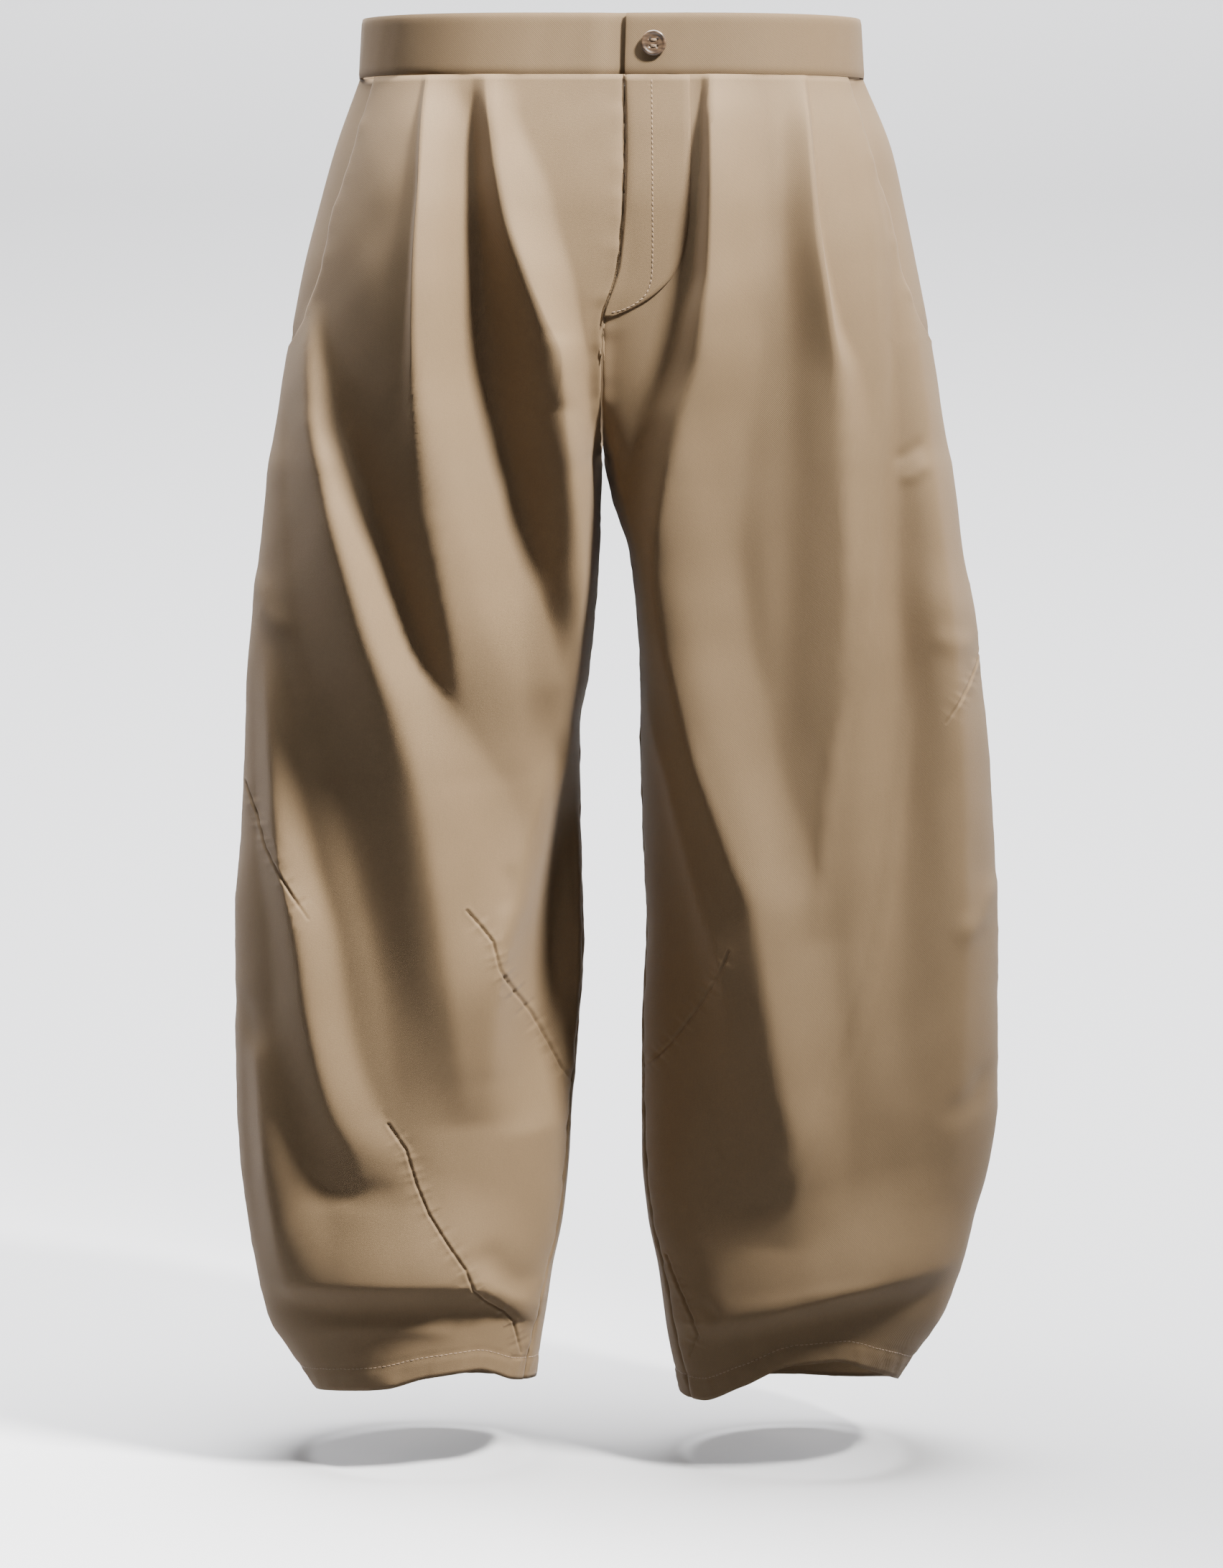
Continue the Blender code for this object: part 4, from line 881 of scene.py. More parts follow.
def turn_at(leg, share, x):
    """Place round the front ring where it passes a distance from the middle, above the crotch."""
    low = np.zeros_like(share)
    high = np.full_like(share, LAST_TURN)
    for _ in range(HALVINGS):
        middle = 0.5 * (low + high)
        reached = leg * place(leg, "front", share, middle, False)[..., 0]
        inside = reached > leg * x
        low = np.where(inside, middle, low)
        high = np.where(inside, high, middle)
    return 0.5 * (low + high)


def row_shares(stretches):
    """Shares of length of the loft's rows."""
    shares = [0.0]
    start = 0.0
    for end, steps in stretches:
        shares.extend(start + (end - start) * (i + 1) / steps for i in range(steps))
        start = end
    return np.array(shares)


def front_turns(leg, shares, steps):
    """Columns of a front: from side edge or pocket mouth, along the folds, to the inner edge."""
    side_z = read(RUN, RUN_COLUMNS, "side_z", shares)
    mouth = turn_at(leg, shares, leg * read(POCKET_MOUTH, POCKET_COLUMNS, "x", side_z))
    last = seam_turn(shares)
    lines = [np.where(side_z > POCKET_MOUTH[-1][0], mouth, 0.0)]
    fade = ease((-side_z - GUIDES_END[0]) / (GUIDES_END[1] - GUIDES_END[0]))
    for k, (rows, beside) in enumerate(GUIDES[leg]):
        x = read(rows, DOWN_COLUMNS, "x", side_z)
        if beside:
            x = x + (1 if beside == "plus" else -1) * read(rows, DOWN_COLUMNS, beside, side_z)
        even = last * sum(steps[:k + 1]) / sum(steps)
        lines.append(turn_at(leg, shares, x) * (1 - fade) + even * fade)
    lines.append(last)
    turns = []
    for count, start, end in zip(steps, lines[:-1], lines[1:]):
        turns.extend(start + (end - start) * i / count for i in range(count))
    turns.append(last)
    return np.stack(turns, axis=1)


def back_turns(shares, steps):
    """Columns of a back: from the inner edge round to the side seam."""
    first = np.where(shares <= CROTCH_SHARE, 1.0 + A_LITTLE, seam_turn(shares))
    return np.stack([first + (2.0 - A_LITTLE - first) * i / steps for i in range(steps + 1)], axis=1)


def trim_to_middle(leg, half, share, points):
    """Keep a panel's points on its own side of the centre seam, half a seam gap away."""
    name = "right_inner" if leg < 0 else "left_inner"
    seam_x = read(OUTLINE, OUTLINE_COLUMNS, name, points[..., 2])
    if half == "back":
        seam_x = place(leg, "back", share, np.full_like(share, 1.0 + A_LITTLE), False)[..., 0]
    limit = seam_x + leg * 0.5 * SEAM_GAP
    above = share < CROTCH_SHARE + NEAR_CROTCH
    trimmed = np.where(leg > 0, np.maximum(points[..., 0], limit), np.minimum(points[..., 0], limit))
    points[..., 0] = np.where(above, trimmed, points[..., 0])
    return points


def ripple(at, length, seed):
    """An uneven wave between -1 and 1 with about one swing to each length."""
    phase = 2 * math.pi * at / length
    return (
        0.5 * np.sin(phase + seed)
        + 0.3 * np.sin(1.73 * phase + 2.1 * seed)
        + 0.2 * np.sin(2.61 * phase + 3.7 * seed)
    )


def swell(points, seed):
    """Slow unevenness of hanging cloth, between about -1 and 1."""
    x, y, z = points[..., 0], points[..., 1], points[..., 2]
    return 0.5 * (
        ripple(x + 0.35 * z + 0.2 * y, 0.085, seed)
        + ripple(0.55 * z - 0.4 * x + 0.3 * y, 0.070, seed + 1.3)
    )


def from_line(points, x, z):
    """Distance from a line through points, with its side, and the share of its length passed."""
    line = np.array(points, float)
    lengths = np.linalg.norm(np.diff(line, axis=0), axis=1)
    passed = np.concatenate([[0.0], np.cumsum(lengths)])
    best = np.full(x.shape, 1e9)
    side = np.zeros(x.shape)
    along = np.zeros(x.shape)
    for k, (start, step) in enumerate(zip(line[:-1], np.diff(line, axis=0))):
        away_x = x - start[0]
        away_z = z - start[1]
        t = np.clip((away_x * step[0] + away_z * step[1]) / lengths[k] ** 2, 0.0, 1.0)
        distance = np.hypot(away_x - t * step[0], away_z - t * step[1])
        nearer = distance < best
        best = np.where(nearer, distance, best)
        side = np.where(nearer, np.sign(step[0] * away_z - step[1] * away_x), side)
        along = np.where(nearer, passed[k] + t * lengths[k], along)
    return best, side, along, passed[-1]


def dart_relief(points, x, z, seed):
    """A sewn dart: a narrow groove between low lips, and cloth drawn up into small puckers."""
    away, side, along, length = from_line(points, x, z)
    taper = ease((length - along) / DART_FADE) * 0.7 + 0.3
    groove = -DART_DEPTH * np.exp(-(away / DART_WIDTH) ** 2)
    lip = DART_LIP * np.exp(-((away - 2.6 * DART_WIDTH) / (1.6 * DART_WIDTH)) ** 2)
    ends = ease(along / DART_PUCKER_FROM) * ease((length - along) / DART_PUCKER_FROM)
    waves = ends * ripple(along, DART_PUCKER_LENGTH, seed)
    return taper * (groove + lip) + DART_PUCKER * waves * np.exp(-(away / DART_PUCKER_WIDTH) ** 2)


def crease_relief(points, width, height, x, z):
    """A soft line in the cloth, raised or sunk, fading at both ends."""
    away, _, along, length = from_line(points, x, z)
    faded = CREASE_FADE * length
    ends = ease(along / faded) * ease((length - along) / faded)
    inside = (along > 0.0) & (along < length)
    return np.where(inside, ends * height * np.exp(-(away / width) ** 2), 0.0)


class Panel:
    """One leg panel: its rows and columns, and its cloth's outer face with every detail on it."""

    def __init__(self, leg, half):
        self.leg = leg
        self.half = half
        self.side = "right" if leg < 0 else "left"
        self.name = half + "_" + self.side
        self.seed = (1.0 if leg < 0 else 2.7) + (0.0 if half == "front" else 5.1)
        self.shares = row_shares(FINE_ROWS)
        if half == "front":
            self.turns = front_turns(leg, self.shares, FINE_FRONT[leg])
        else:
            self.turns = back_turns(self.shares, FINE_BACK)
        share = np.repeat(self.shares[:, None], self.turns.shape[1], axis=1)
        base = place(leg, half, share, self.turns, True)
        steps = np.linalg.norm(np.diff(base, axis=1), axis=-1)
        across = np.concatenate([np.zeros((len(self.shares), 1)), np.cumsum(steps, axis=1)], axis=1)
        anchor = int(0.5 * across.shape[1])
        self.first = -across[:, anchor]
        self.last = across[:, -1] - across[:, anchor]
        self.across = across - across[:, anchor:anchor + 1]
        self.base = base

    def across_at(self, share, turn):
        """Distance round the cloth at any place on the panel."""
        found = np.zeros(share.shape)
        for i in np.ndindex(share.shape):
            row = int(np.clip(np.searchsorted(self.shares, share[i]), 1, len(self.shares) - 1))
            part = (share[i] - self.shares[row - 1]) / (self.shares[row] - self.shares[row - 1])
            low = np.interp(turn[i], self.turns[row - 1], self.across[row - 1])
            high = np.interp(turn[i], self.turns[row], self.across[row])
            found[i] = low + (high - low) * part
        return found

    def relief(self, points, share, across):
        """Height of seams, darts, creases and unevenness over the loft's surface."""
        x, z = points[..., 0], points[..., 2]
        down = share * LEG_LENGTH
        from_first = across - np.interp(share, self.shares, self.first)
        from_last = np.interp(share, self.shares, self.last) - across
        from_hem = (1 - share) * LEG_LENGTH
        height = SWELL * swell(points, self.seed) * ease(share / SWELL_FROM)
        for k, beside in enumerate((from_first, from_last)):
            height -= SEAM_DEPTH * np.exp(-(beside / SEAM_WIDTH) ** 2)
            waves = ripple(down, SEAM_PUCKER_LENGTH, self.seed + k)
            height += SEAM_PUCKER * waves * np.exp(-(beside / SEAM_PUCKER_WIDTH) ** 2)
        for line in DARTS.get(self.name, ()):
            height += dart_relief(line, x, z, self.seed)
        for line, width, rise in CREASES.get(self.name, ()):
            height += crease_relief(line, width, rise, x, z)
        stitch = from_hem - HEM_STITCH_UP
        height += HEM_RISE * ease(-stitch / 0.004 + 0.5)
        height -= HEM_GROOVE * np.exp(-(stitch / HEM_GROOVE_WIDTH) ** 2)
        in_hem = ease(from_hem / 0.004) * ease((1.35 * HEM_STITCH_UP - from_hem) / 0.008)
        height += HEM_ROPING * ripple(across + 0.6 * down, HEM_ROPING_LENGTH, self.seed) * in_hem
        return height

    def surface(self, share, turn, across=None):
        """Outer face of the cloth and the directions out of it."""
        points = place(self.leg, self.half, share, turn)
        directions = outward(self.leg, self.half, share, turn)
        if across is None:
            across = self.across_at(share, turn)
        points = points + directions * self.relief(points, share, across)[..., None]
        points[..., 1] += (-0.5 if self.half == "front" else 0.5) * SEAM_GAP
        return trim_to_middle(self.leg, self.half, share, points), directions


def make_object(name, data):
    """A new object in the scene."""
    piece = bpy.data.objects.new(name, data)
    bpy.context.scene.collection.objects.link(piece)
    return piece


def finish_mesh(name, cage, material):
    """A smooth-shaded piece of one material from a bmesh, which is freed."""
    mesh = bpy.data.meshes.new(name)
    cage.to_mesh(mesh)
    cage.free()
    mesh.materials.append(material)
    mesh.shade_smooth()
    return make_object(name, mesh)


def skin_rings(cage, rings):
    """Faces between rings of as many points each, with a lid at both ends."""
    for one, two in zip(rings[:-1], rings[1:]):
        for i in range(len(one)):
            j = (i + 1) % len(one)
            cage.faces.new((one[i], one[j], two[j], two[i]))
    cage.faces.new(rings[0])
    cage.faces.new(rings[-1])


def turn_faces_out(mesh, centre_x):
    """Make the faces of an open cloth look away from an upright line."""
    score = 0.0
    for face in mesh.polygons:
        score += face.normal.x * (face.center.x - centre_x) + face.normal.y * face.center.y
    if score < 0.0:
        mesh.flip_normals()


def make_faces_look(mesh, way):
    """Turn an open mesh's faces so that most look one way."""
    score = sum(face.normal.dot(way) * face.area for face in mesh.polygons)
    if score < 0.0:
        mesh.flip_normals()


def give_thickness(piece, thickness, group=None):
    """Cloth thickness, inwards from the outer face; thinner where the group's weight is none."""
    solid = piece.modifiers.new("thickness", "SOLIDIFY")
    solid.thickness = thickness
    solid.offset = -1.0
    if group:
        solid.vertex_group = group.name
        solid.thickness_vertex_group = CLOTH_SHARE_OF_SHELL


def near_detail(panel, points):
    """Whether a point lies close to a dart, where the mesh is made finer."""
    x, z = points[..., 0], points[..., 2]
    near = np.zeros(x.shape, bool)
    for line in DARTS.get(panel.name, ()):
        near |= from_line(line, x, z)[0] < FINE_REACH
    return near


def build_panel(panel, material):
    """Mesh of one panel, finer along its darts, with the cloth's thickness inwards."""
    rows, columns = panel.turns.shape
    grid = bmesh.new()
    verts = [
        [grid.verts.new((share, turn, across)) for turn, across in zip(panel.turns[i], panel.across[i])]
        for i, share in enumerate(panel.shares)
    ]
    close = near_detail(panel, panel.base)
    for i in range(rows - 1):
        for j in range(columns - 1):
            face = grid.faces.new((verts[i][j], verts[i + 1][j], verts[i + 1][j + 1], verts[i][j + 1]))
            face.select = bool(close[i:i + 2, j:j + 2].any())
    edges = [edge for edge in grid.edges if any(face.select for face in edge.link_faces)]
    if edges:
        bmesh.ops.subdivide_edges(grid, edges=edges, cuts=FINE_CUTS, use_grid_fill=True)
    at = np.array([vert.co[:] for vert in grid.verts])
    uv_layer = grid.loops.layers.uv.new("cloth")
    for face in grid.faces:
        for loop in face.loops:
            loop[uv_layer].uv = (loop.vert.co[2], loop.vert.co[0] * LEG_LENGTH)
    points, _ = panel.surface(at[:, 0], at[:, 1], at[:, 2])
    for vert, point in zip(grid.verts, points.tolist()):
        vert.co = point
    bmesh.ops.recalc_face_normals(grid, faces=grid.faces)
    piece = finish_mesh(panel.name + "_cloth", grid, material)
    turn_faces_out(piece.data, panel.leg * LEG_CENTRE)
    hem = piece.vertex_groups.new(name="hem")
    weights = ease((at[:, 0] - (1 - 1.3 * HEM_STITCH_UP / LEG_LENGTH)) / 0.008)
    for index, weight in enumerate(weights):
        if weight > 0.0:
            hem.add([index], float(weight), "REPLACE")
    give_thickness(piece, SHELL, hem)
    return piece


def length_passed(points):
    """Length of a route up to each of its points."""
    steps = np.linalg.norm(np.diff(points, axis=0), axis=1)
    return np.concatenate([[0.0], np.cumsum(steps)])


def stitch_run(name, points, directions, thread, pitch=STITCH_PITCH, length=STITCH_LENGTH,
               radius=STITCH_RADIUS):
    """Stitches along a route on the cloth: short threads, each dipping into it at both ends."""
    passed = length_passed(points)

    def read_at(values, at):
        return np.array([np.interp(at, passed, values[:, i]) for i in range(3)])

    count = int(passed[-1] / pitch)
    threads = bmesh.new()
    for k in range(count):
        start = (k + 0.5 * (1 - length / pitch)) * pitch
        rings = []
        for share, fat, up in STITCH_PROFILE:
            at = start + share * length
            out = read_at(directions, at)
            out /= np.linalg.norm(out)
            along = read_at(points, at + STITCH_REACH) - read_at(points, at - STITCH_REACH)
            along = along / max(np.linalg.norm(along), 1e-9)
            across = np.cross(out, along)
            across /= np.linalg.norm(across)
            centre = read_at(points, at) + out * up * radius
            ring = []
            for i in range(STITCH_SIDES):
                angle = 2 * math.pi * i / STITCH_SIDES
                offset = (across * math.cos(angle) + out * math.sin(angle)) * radius * fat
                ring.append(threads.verts.new(centre + offset))
            rings.append(ring)
        skin_rings(threads, rings)
    bmesh.ops.recalc_face_normals(threads, faces=threads.faces)
    piece = finish_mesh(name, threads, thread)
    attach(piece, BODY)


def grid_mesh(name, points, uvs, material):
    """An open cloth from a grid of points."""
    rows, columns = points.shape[:2]
    cloth = bmesh.new()
    verts = [[cloth.verts.new(point) for point in row] for row in points.tolist()]
    uv_layer = cloth.loops.layers.uv.new("cloth")
    for i in range(rows - 1):
        for j in range(columns - 1):
            corners = ((i, j), (i + 1, j), (i + 1, j + 1), (i, j + 1))
            face = cloth.faces.new([verts[row][col] for row, col in corners])
            for loop, corner in zip(face.loops, corners):
                loop[uv_layer].uv = (uvs[corner][0], uvs[corner][1])
    return finish_mesh(name, cloth, material)


def on_left_front(x, z):
    """Share and turn of the left front's point seen from the front at a place and height."""
    run_z = column(RUN, RUN_COLUMNS, "side_z")[::-1]
    run_share = column(RUN, RUN_COLUMNS, "share")[::-1]
    share = np.interp(z, run_z, run_share)
    for _ in range(SEARCH_ROUNDS):
        turn = turn_at(1, share, x)
        found = place(1, "front", share, turn, False)[..., 2]
        share = np.clip(share - (z - found) / DROP_OF_LEG, 0.0, 1.0)
    return share, turn_at(1, share, x)


def fly_reach(z):
    """How far the fly strip reaches from the centre seam at a height."""
    return read(FLY_EDGE, FLY_EDGE_COLUMNS, "reach", z)


def fly_face(x, z):
    """Points of the fly's cloth side on the left front, and the directions out of it."""
    share, turn = on_left_front(x, z)
    face = place(1, "front", share, turn)
    direction = outward(1, "front", share, turn)
    face[..., 0] = x
    direction[..., 0] = 0.0
    direction /= np.linalg.norm(direction, axis=-1, keepdims=True)
    return face, direction


def build_fly(material, thread):
    """The fly strip on the left front, its edge rolled over, with the curved row of stitches."""
    down = np.linspace(0.0, 1.0, FLY_ROWS) ** FLY_CROWDING
    heights = FLY_EDGE[0][0] + (FLY_EDGE[-1][0] - FLY_EDGE[0][0]) * down
    seam = read(OUTLINE, OUTLINE_COLUMNS, "left_inner", heights) + 0.5 * SEAM_GAP
    across = np.linspace(0.0, 1.0, FLY_COLUMNS)
    x = seam[:, None] + FLY_IN + fly_reach(heights)[:, None] * across[None, :]
    z = np.repeat(heights[:, None], FLY_COLUMNS, axis=1)
    face, direction = fly_face(x, z)
    rolled = FLY_ROLL * ease((across - FLY_ROLL_FROM) / (1.0 - FLY_ROLL_FROM))
    outer = face + direction * (SKIN_GAP + FLY_CLOTH - rolled)[None, :, None]
    piece = grid_mesh("fly_cloth", outer, np.stack([x, -z], axis=-1), material)
    make_faces_look(piece.data, Vector((0.0, -1.0, 0.0)))
    give_thickness(piece, FLY_CLOTH)
    dress(piece, "fly")
    at = np.linspace(0, len(FLY_STITCH) - 1, FLY_STITCH_POINTS)
    stations = np.arange(len(FLY_STITCH), dtype=float)
    x, z = (smooth(at, stations, values) for values in np.array(FLY_STITCH).T)
    face, direction = fly_face(x, z)
    stitch_run("fly_stitches", face + direction * (SKIN_GAP + FLY_CLOTH), direction, thread)
    return piece


def dress(piece, node_name):
    """Put a piece on the one body, in place of its plain solid."""
    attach(piece, BODY)
    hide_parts(node_name)


def build_pocket(panel, material):
    """The facing behind a pocket mouth, from the side seam to under the front's cut edge."""
    side_z = read(RUN, RUN_COLUMNS, "side_z", panel.shares)
    count = int(np.sum(side_z > POCKET_MOUTH[-1][0])) + 1
    shares = panel.shares[:count]
    front = panel.turns[:count]
    mouth = np.maximum(front[:, 0], POCKET_END_TURN)
    under = np.minimum(mouth + POCKET_UNDER_TURN, front[:, POCKET_UNDER_COLUMNS])
    turns = [mouth * i / POCKET_STEPS for i in range(POCKET_STEPS + 1)]
    for i in range(1, POCKET_UNDER_STEPS + 1):
        turns.append(mouth + (under - mouth) * i / POCKET_UNDER_STEPS)
    turns = np.stack(turns, axis=1)
    share = np.repeat(shares[:, None], turns.shape[1], axis=1)
    face = place(panel.leg, "front", share, turns)
    direction = outward(panel.leg, "front", share, turns)
    is_open = ease((side_z[:count] - POCKET_MOUTH[-1][0]) / POCKET_CLOSES)[:, None]
    towards_side = 1.0 - ease(turns / mouth[:, None])
    depth = POCKET_DEPTH_UNDER * (1.0 - is_open * towards_side)
    points = face - direction * depth[..., None]
    points[..., 1] -= 0.5 * SEAM_GAP
    uvs = np.stack([turns * RING_LENGTH, share * LEG_LENGTH], axis=-1)
    piece = grid_mesh("pocket_" + panel.side + "_facing", points, uvs, material)
    make_faces_look(piece.data, Vector((panel.leg * 0.8, -0.6, 0.0)))
    give_thickness(piece, POCKET_CLOTH)
    dress(piece, "pocket_" + panel.side)
    return piece


def band_path():
    """The waistband's route at its lower edge: under end, right side, back, left side, over end.

    Gives points, directions out, and how far each is set in where the ends lap."""
    edge_x = OUTLINE[0][OUTLINE_COLUMNS.index("left_inner")]
    lap = np.linspace(edge_x + BAND_LAP, edge_x - BAND_UNDER, BAND_LAP_STEPS)
    points = []
    directions = []
    drops = []
    share = np.zeros(BAND_LAP_STEPS)
    turn_left = turn_at(1, share, np.maximum(lap, edge_x + BAND_CLEAR))
    turn_right = turn_at(-1, share, np.minimum(lap, edge_x - BAND_CLEAR))
    for i, x in enumerate(lap):
        leg = 1 if x > edge_x else -1
        turn = turn_left[i] if leg > 0 else turn_right[i]
        points.append(place(leg, "front", 0.0, turn, False))
        directions.append((0.0, -1.0, 0.0))
        risen = ease((edge_x - BAND_RISE_FROM - x) / BAND_RISE)
        drops.append(BAND_LAP_DROP * float(1.0 - risen))
    over_end = turn_at(1, np.zeros(1), np.array([edge_x + BAND_OVER_CLEAR]))
    for leg, half, start, end in (
        (-1, "front", turn_right[-1], 0.0),
        (-1, "back", 2.0, 1.0),
        (1, "back", 1.0, 2.0),
        (1, "front", 0.0, float(over_end[0])),
    ):
        for k in range(1, BAND_STEPS + 1):
            turn = start + (end - start) * k / BAND_STEPS
            if half == "back":
                turn = float(np.clip(turn, 1.0 + A_LITTLE, 2.0 - A_LITTLE))
            flat = outward(leg, half, 0.0, turn, False)
            flat[2] = 0.0
            if half == "back" and abs(turn - 1.0) < 1e-3:
                flat = np.array([0.0, 1.0, 0.0])
            points.append(place(leg, half, 0.0, turn, False))
            directions.append(flat / np.linalg.norm(flat))
            drops.append(0.0)
    return np.array(points), np.array(directions), np.array(drops)


def build_band(material):
    """The waistband, a strip with soft edges whose left end laps over the right one."""
    points, directions, drops = band_path()
    passed = length_passed(points)
    rows = []
    uvs = []
    for level in BAND_HALF_HEIGHT * np.linspace(-1.0, 1.0, BAND_LEVELS):
        taper = BAND_TAPER * (level + BAND_HALF_HEIGHT) / (2 * BAND_HALF_HEIGHT)
        near_edge = (abs(level) - BAND_HALF_HEIGHT + BAND_ROUND_HEIGHT) / BAND_ROUND_HEIGHT
        rounding = BAND_ROUND * ease(near_edge)
        wave = BAND_WAVE * ripple(passed, BAND_WAVE_LENGTH, 1.7 + 20 * level)
        face = points + directions * (BAND_PROUD - drops - taper - rounding + wave)[:, None]
        face[:, 2] = level
        rows.append(face)
        uvs.append(np.stack([passed, np.full_like(passed, -level)], axis=-1))
    piece = grid_mesh("waistband_cloth", np.array(rows), np.array(uvs), material)
    turn_faces_out(piece.data, 0.0)
    give_thickness(piece, BAND_CLOTH)
    soften = piece.modifiers.new("soft edge", "BEVEL")
    soften.width = BAND_EDGE
    soften.segments = 2
    soften.limit_method = "ANGLE"
    dress(piece, "waistband")
    return piece


def build_button(material, thread):
    """The button: a turned rim round a dished face with four holes, and the thread through them."""
    low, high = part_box("button")
    middle = (np.array(low) + np.array(high)) / 2
    radius = 0.5 * (high[0] - low[0])
    depth = high[1] - low[1]
    turned = bmesh.new()
    rings = []
    for share, up in BUTTON_PROFILE:
        ring = []
        for i in range(BUTTON_SIDES):
            angle = 2 * math.pi * i / BUTTON_SIDES
            ring.append(turned.verts.new((
                middle[0] + radius * share * math.cos(angle),
                high[1] - depth * up,
                middle[2] + radius * share * math.sin(angle),
            )))
        rings.append(ring)
    skin_rings(turned, rings)
    bmesh.ops.recalc_face_normals(turned, faces=turned.faces)
    piece = finish_mesh("button_turned", turned, material)
    holes = bmesh.new()
    for dx in (-1, 1):
        for dz in (-1, 1):
            made = bmesh.ops.create_cone(
                holes, cap_ends=True, segments=16, radius1=BUTTON_HOLE, radius2=BUTTON_HOLE,
                depth=4 * depth,
            )
            verts = made["verts"]
            laid_down = Matrix.Rotation(0.5 * math.pi, 3, "X")
            bmesh.ops.rotate(holes, verts=verts, cent=(0, 0, 0), matrix=laid_down)
            hole = middle + np.array((dx, 0, dz)) * BUTTON_HOLE_FROM
            bmesh.ops.translate(holes, verts=verts, vec=hole)
    cutter_mesh = bpy.data.meshes.new("holes")
    holes.to_mesh(cutter_mesh)
    holes.free()
    cutter = make_object("holes", cutter_mesh)
    cut = piece.modifiers.new("holes", "BOOLEAN")
    cut.operation = "DIFFERENCE"
    cut.object = cutter
    settle(piece)
    bpy.data.objects.remove(cutter, do_unlink=True)
    dress(piece, "button")
    face_y = high[1] - depth * BUTTON_DISH
    out = np.array([(0.0, -1.0, 0.0)] * 2)
    for k, dz in enumerate((-1, 1)):
        for j in range(BUTTON_STRANDS):
            beside = (j - 0.5 * (BUTTON_STRANDS - 1)) * 2.1 * STITCH_RADIUS
            z = middle[2] + dz * BUTTON_HOLE_FROM + beside
            reach = 1.15 * BUTTON_HOLE_FROM
            ends = np.array([(middle[0] + end * reach, face_y, z) for end in (-1, 1)])
            span = float(np.linalg.norm(ends[1] - ends[0]))
            name = "button_thread_%d_%d" % (k, j)
            stitch_run(name, ends, out, thread, 0.99 * span, 0.98 * span, 1.4 * STITCH_RADIUS)


def settle(piece):
    """Apply a piece's modifiers."""
    bpy.context.view_layer.update()
    graph = bpy.context.evaluated_depsgraph_get()
    mesh = bpy.data.meshes.new_from_object(piece.evaluated_get(graph))
    piece.modifiers.clear()
    piece.data = mesh


def build_hem_stitches(panels, thread):
    """A row of stitches round each hem, a little above its edge."""
    row_share = 1 - HEM_STITCH_UP / LEG_LENGTH
    for panel in panels:
        first = float(np.interp(row_share, panel.shares, panel.turns[:, 0]))
        last = float(np.interp(row_share, panel.shares, panel.turns[:, -1]))
        inset = HEM_STITCH_IN * (1 if last > first else -1)
        turn = np.linspace(first + inset, last - inset, HEM_STITCH_POINTS)
        share = np.full_like(turn, row_share)
        points, directions = panel.surface(share, turn)
        stitch_run(panel.name + "_hem_stitches", points, directions, thread)


def set_inputs(made, values):
    """Set a node's unlinked inputs by their names."""
    for name, value in values.items():
        made.inputs[name].default_value = value
    return made


def noise(tree, vector, scale, detail=2.0, roughness=0.5):
    """Noise on a vector."""
    made = tree.nodes.new("ShaderNodeTexNoise")
    set_inputs(made, {"Scale": scale, "Detail": detail, "Roughness": roughness})
    tree.links.new(vector, made.inputs["Vector"])
    return made.outputs["Fac"]


def arithmetic(tree, operation, one, two, clamp=False):
    """One sum of two values, each a socket or a number."""
    made = tree.nodes.new("ShaderNodeMath")
    made.operation = operation
    made.use_clamp = clamp
    for socket, value in zip(made.inputs, (one, two)):
        if isinstance(value, (int, float)):
            socket.default_value = value
        else:
            tree.links.new(value, socket)
    return made.outputs[0]


def scaled(tree, value, low, high):
    """A value from 0 to 1 spread over another range."""
    return arithmetic(tree, "ADD", arithmetic(tree, "MULTIPLY", value, high - low), low)


def stretched(tree, vector, scale):
    """A vector scaled along each axis."""
    made = tree.nodes.new("ShaderNodeMapping")
    made.inputs["Scale"].default_value = scale
    tree.links.new(vector, made.inputs["Vector"])
    return made.outputs["Vector"]


def tint(tree, shader, colour, amount):
    """Give a shader one colour, lighter and darker with a value."""
    mix = tree.nodes.new("ShaderNodeVectorMath")
    mix.operation = "SCALE"
    mix.inputs[0].default_value = colour
    tree.links.new(amount, mix.inputs["Scale"])
    tree.links.new(mix.outputs[0], shader.inputs["Base Color"])


def new_material(name):
    """A material with one Principled shader, and its node tree."""
    material = bpy.data.materials.new(name)
    material.use_nodes = True
    tree = material.node_tree
    return material, tree, tree.nodes["Principled BSDF"]


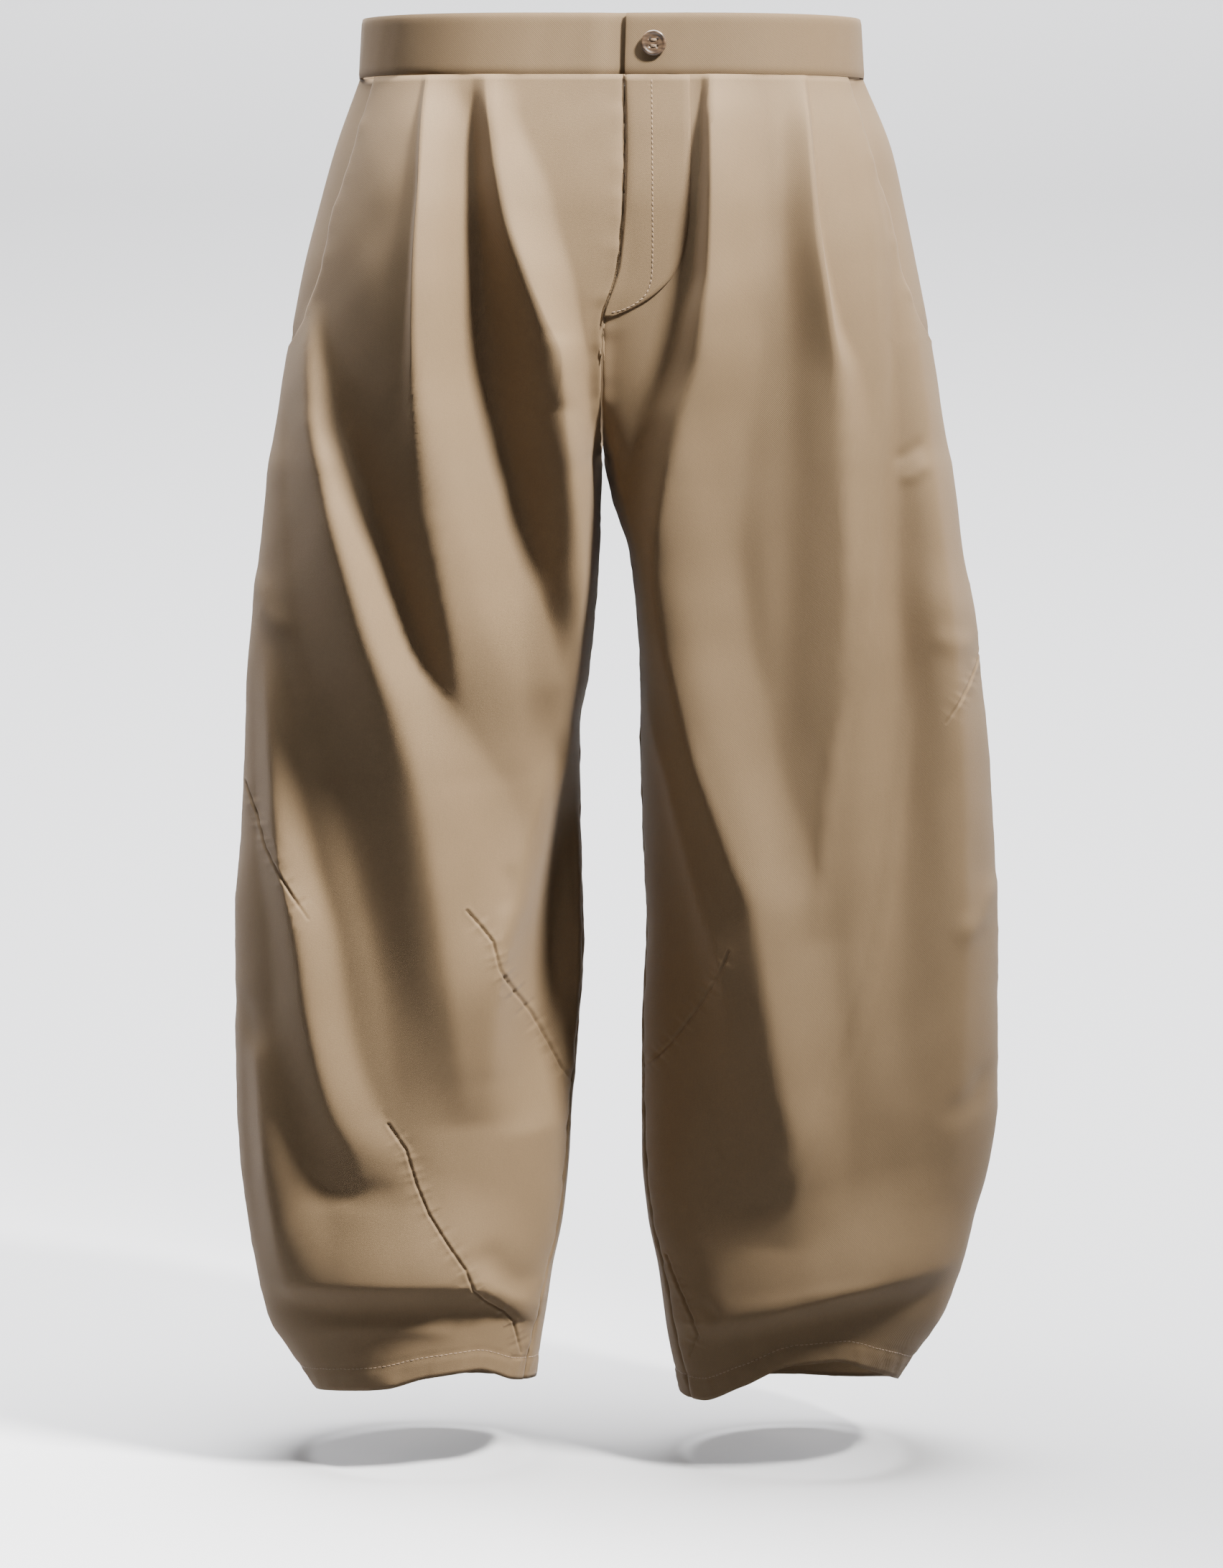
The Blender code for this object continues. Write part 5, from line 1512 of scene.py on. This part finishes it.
def twill_material():
    """Smooth cotton twill: fine diagonal lines, a speckle of threads and slow changes of tone."""
    material, tree, shader = new_material("twill_cloth")
    uv = tree.nodes.new("ShaderNodeUVMap")
    uv.uv_map = "cloth"
    place_node = tree.nodes.new("ShaderNodeTexCoord")
    lines = tree.nodes.new("ShaderNodeTexWave")
    lines.wave_type = "BANDS"
    lines.bands_direction = "DIAGONAL"
    set_inputs(lines, {"Scale": TWILL_SCALE, "Distortion": 1.2, "Detail": 2.0, "Detail Scale": 1.6})
    tree.links.new(uv.outputs["UV"], lines.inputs["Vector"])
    speckle = noise(tree, uv.outputs["UV"], SPECKLE_SCALE, 3.0, 0.6)
    slub = noise(tree, stretched(tree, uv.outputs["UV"], SLUB_STRETCH), SLUB_SCALE, 2.0, 0.5)
    tone = noise(tree, place_node.outputs["Object"], TONE_SCALE, 3.0, 0.5)
    total = arithmetic(tree, "MULTIPLY", scaled(tree, lines.outputs["Fac"], 0.95, 1.05),
                       scaled(tree, speckle, 1 - SPECKLE, 1 + SPECKLE))
    total = arithmetic(tree, "MULTIPLY", total, scaled(tree, slub, 0.94, 1.06))
    total = arithmetic(tree, "MULTIPLY", total, scaled(tree, tone, 0.93, 1.07))
    tint(tree, shader, TWILL_COLOUR, total)
    tree.links.new(scaled(tree, speckle, 0.66, 0.86), shader.inputs["Roughness"])
    height = arithmetic(tree, "ADD", arithmetic(tree, "MULTIPLY", lines.outputs["Fac"], 0.6),
                        arithmetic(tree, "MULTIPLY", speckle, 0.8))
    bump = tree.nodes.new("ShaderNodeBump")
    set_inputs(bump, {"Strength": 0.55, "Distance": 0.00022})
    tree.links.new(height, bump.inputs["Height"])
    tree.links.new(bump.outputs["Normal"], shader.inputs["Normal"])
    set_inputs(shader, {
        "Sheen Weight": SHEEN,
        "Sheen Roughness": 0.45,
        "Sheen Tint": (1.0, 0.86, 0.78, 1.0),
        "Specular IOR Level": 0.35,
    })
    return material


def horn_material():
    """Dark horn-like button: cloudy brown streaks under a satin surface."""
    material, tree, shader = new_material("button_horn")
    where = tree.nodes.new("ShaderNodeTexCoord")
    streaks = stretched(tree, where.outputs["Object"], (1.0, 1.0, 3.5))
    cloud = noise(tree, streaks, 160.0, 4.0, 0.6)
    ramp = tree.nodes.new("ShaderNodeValToRGB")
    for element, (position, colour) in zip(ramp.color_ramp.elements, HORN_COLOURS):
        element.position = position
        element.color = (*colour, 1.0)
    tree.links.new(cloud, ramp.inputs["Fac"])
    tree.links.new(ramp.outputs["Color"], shader.inputs["Base Color"])
    tree.links.new(scaled(tree, cloud, 0.28, 0.42), shader.inputs["Roughness"])
    shader.inputs["Coat Weight"].default_value = 0.15
    return material


def thread_material():
    """Sewing thread a little lighter than the cloth, with its twist."""
    material, tree, shader = new_material("thread")
    where = tree.nodes.new("ShaderNodeTexCoord")
    twist = tree.nodes.new("ShaderNodeTexWave")
    twist.bands_direction = "DIAGONAL"
    set_inputs(twist, {"Scale": 900.0, "Distortion": 0.6})
    tree.links.new(where.outputs["Object"], twist.inputs["Vector"])
    tint(tree, shader, THREAD_COLOUR, scaled(tree, twist.outputs["Fac"], 0.86, 1.10))
    set_inputs(shader, {"Roughness": 0.55, "Sheen Weight": 0.25, "Sheen Roughness": 0.4})
    return material


def build_stage():
    """A pale floor that runs up into a wall behind, lit softly."""
    material, tree, shader = new_material("studio_paper")
    where = tree.nodes.new("ShaderNodeTexCoord")
    cloud = noise(tree, where.outputs["Object"], 0.8, 2.0, 0.5)
    tint(tree, shader, PAPER_COLOUR, scaled(tree, cloud, 0.98, 1.02))
    set_inputs(shader, {"Roughness": 0.95, "Specular IOR Level": 0.1})
    profile = [(-STAGE_REACH, FLOOR_Z), (WALL_Y - BEND, FLOOR_Z)]
    for angle in np.linspace(0.0, 0.5 * math.pi, BEND_STEPS + 1)[1:]:
        y = WALL_Y - BEND + BEND * math.sin(angle)
        profile.append((y, FLOOR_Z + BEND * (1 - math.cos(angle))))
    profile.append((WALL_Y, STAGE_REACH))
    points = np.array([[(x, y, z) for x in (-STAGE_SIDE, STAGE_SIDE)] for y, z in profile])
    sweep = grid_mesh("studio_sweep", points, points[..., :2], material)
    make_faces_look(sweep.data, Vector((0.0, -0.7, 0.7)))
    sweep.visible_diffuse = False
    return sweep


def aim(thing, target):
    """Turn a lamp towards a point."""
    away = Vector(target) - thing.location
    thing.rotation_euler = away.to_track_quat("-Z", "Y").to_euler()


def build_lights():
    """Lamps and the even light of the room."""
    for name, kind, place_at, target, size, power, colour in LAMPS:
        lamp = bpy.data.lights.new(name, kind)
        if kind == "SPOT":
            lamp.spot_size = KEY_CONE
            lamp.spot_blend = KEY_BLEND
            lamp.shadow_soft_size = 0.5 * size
        else:
            lamp.shape = "DISK"
            lamp.size = size
        lamp.energy = power
        lamp.color = colour
        thing = make_object(name, lamp)
        thing.location = place_at
        aim(thing, target)
    world = bpy.data.worlds.new("room")
    world.use_nodes = True
    room = world.node_tree.nodes["Background"]
    set_inputs(room, {"Color": (*ROOM_COLOUR, 1.0), "Strength": ROOM_STRENGTH})
    bpy.context.scene.world = world


def build_camera():
    """The photo's view: straight on, from a little above, at about the height of the hips."""
    camera = bpy.data.cameras.new("camera")
    camera.lens = CAMERA_LENS
    camera.sensor_width = 36.0
    thing = make_object("camera", camera)
    thing.location = (0.0, -CAMERA_DISTANCE, CAMERA_HEIGHT)
    thing.rotation_euler = (0.5 * math.pi - CAMERA_PITCH, 0.0, 0.0)
    bpy.context.scene.camera = thing


def main():
    """Build the cloth, sewing and button, then the stage, lamps and camera."""
    twill = twill_material()
    thread = thread_material()
    panels = [Panel(leg, half) for leg in (-1, 1) for half in ("front", "back")]
    band = build_band(twill)
    for panel in panels:
        piece = build_panel(panel, twill)
        dress(piece, panel.name)
        if panel.half == "front":
            build_pocket(panel, twill)
        if panel.name == "front_left":
            build_fly(twill, thread)
    build_button(horn_material(), thread)
    build_hem_stitches(panels, thread)
    build_stage()
    build_lights()
    build_camera()


main()
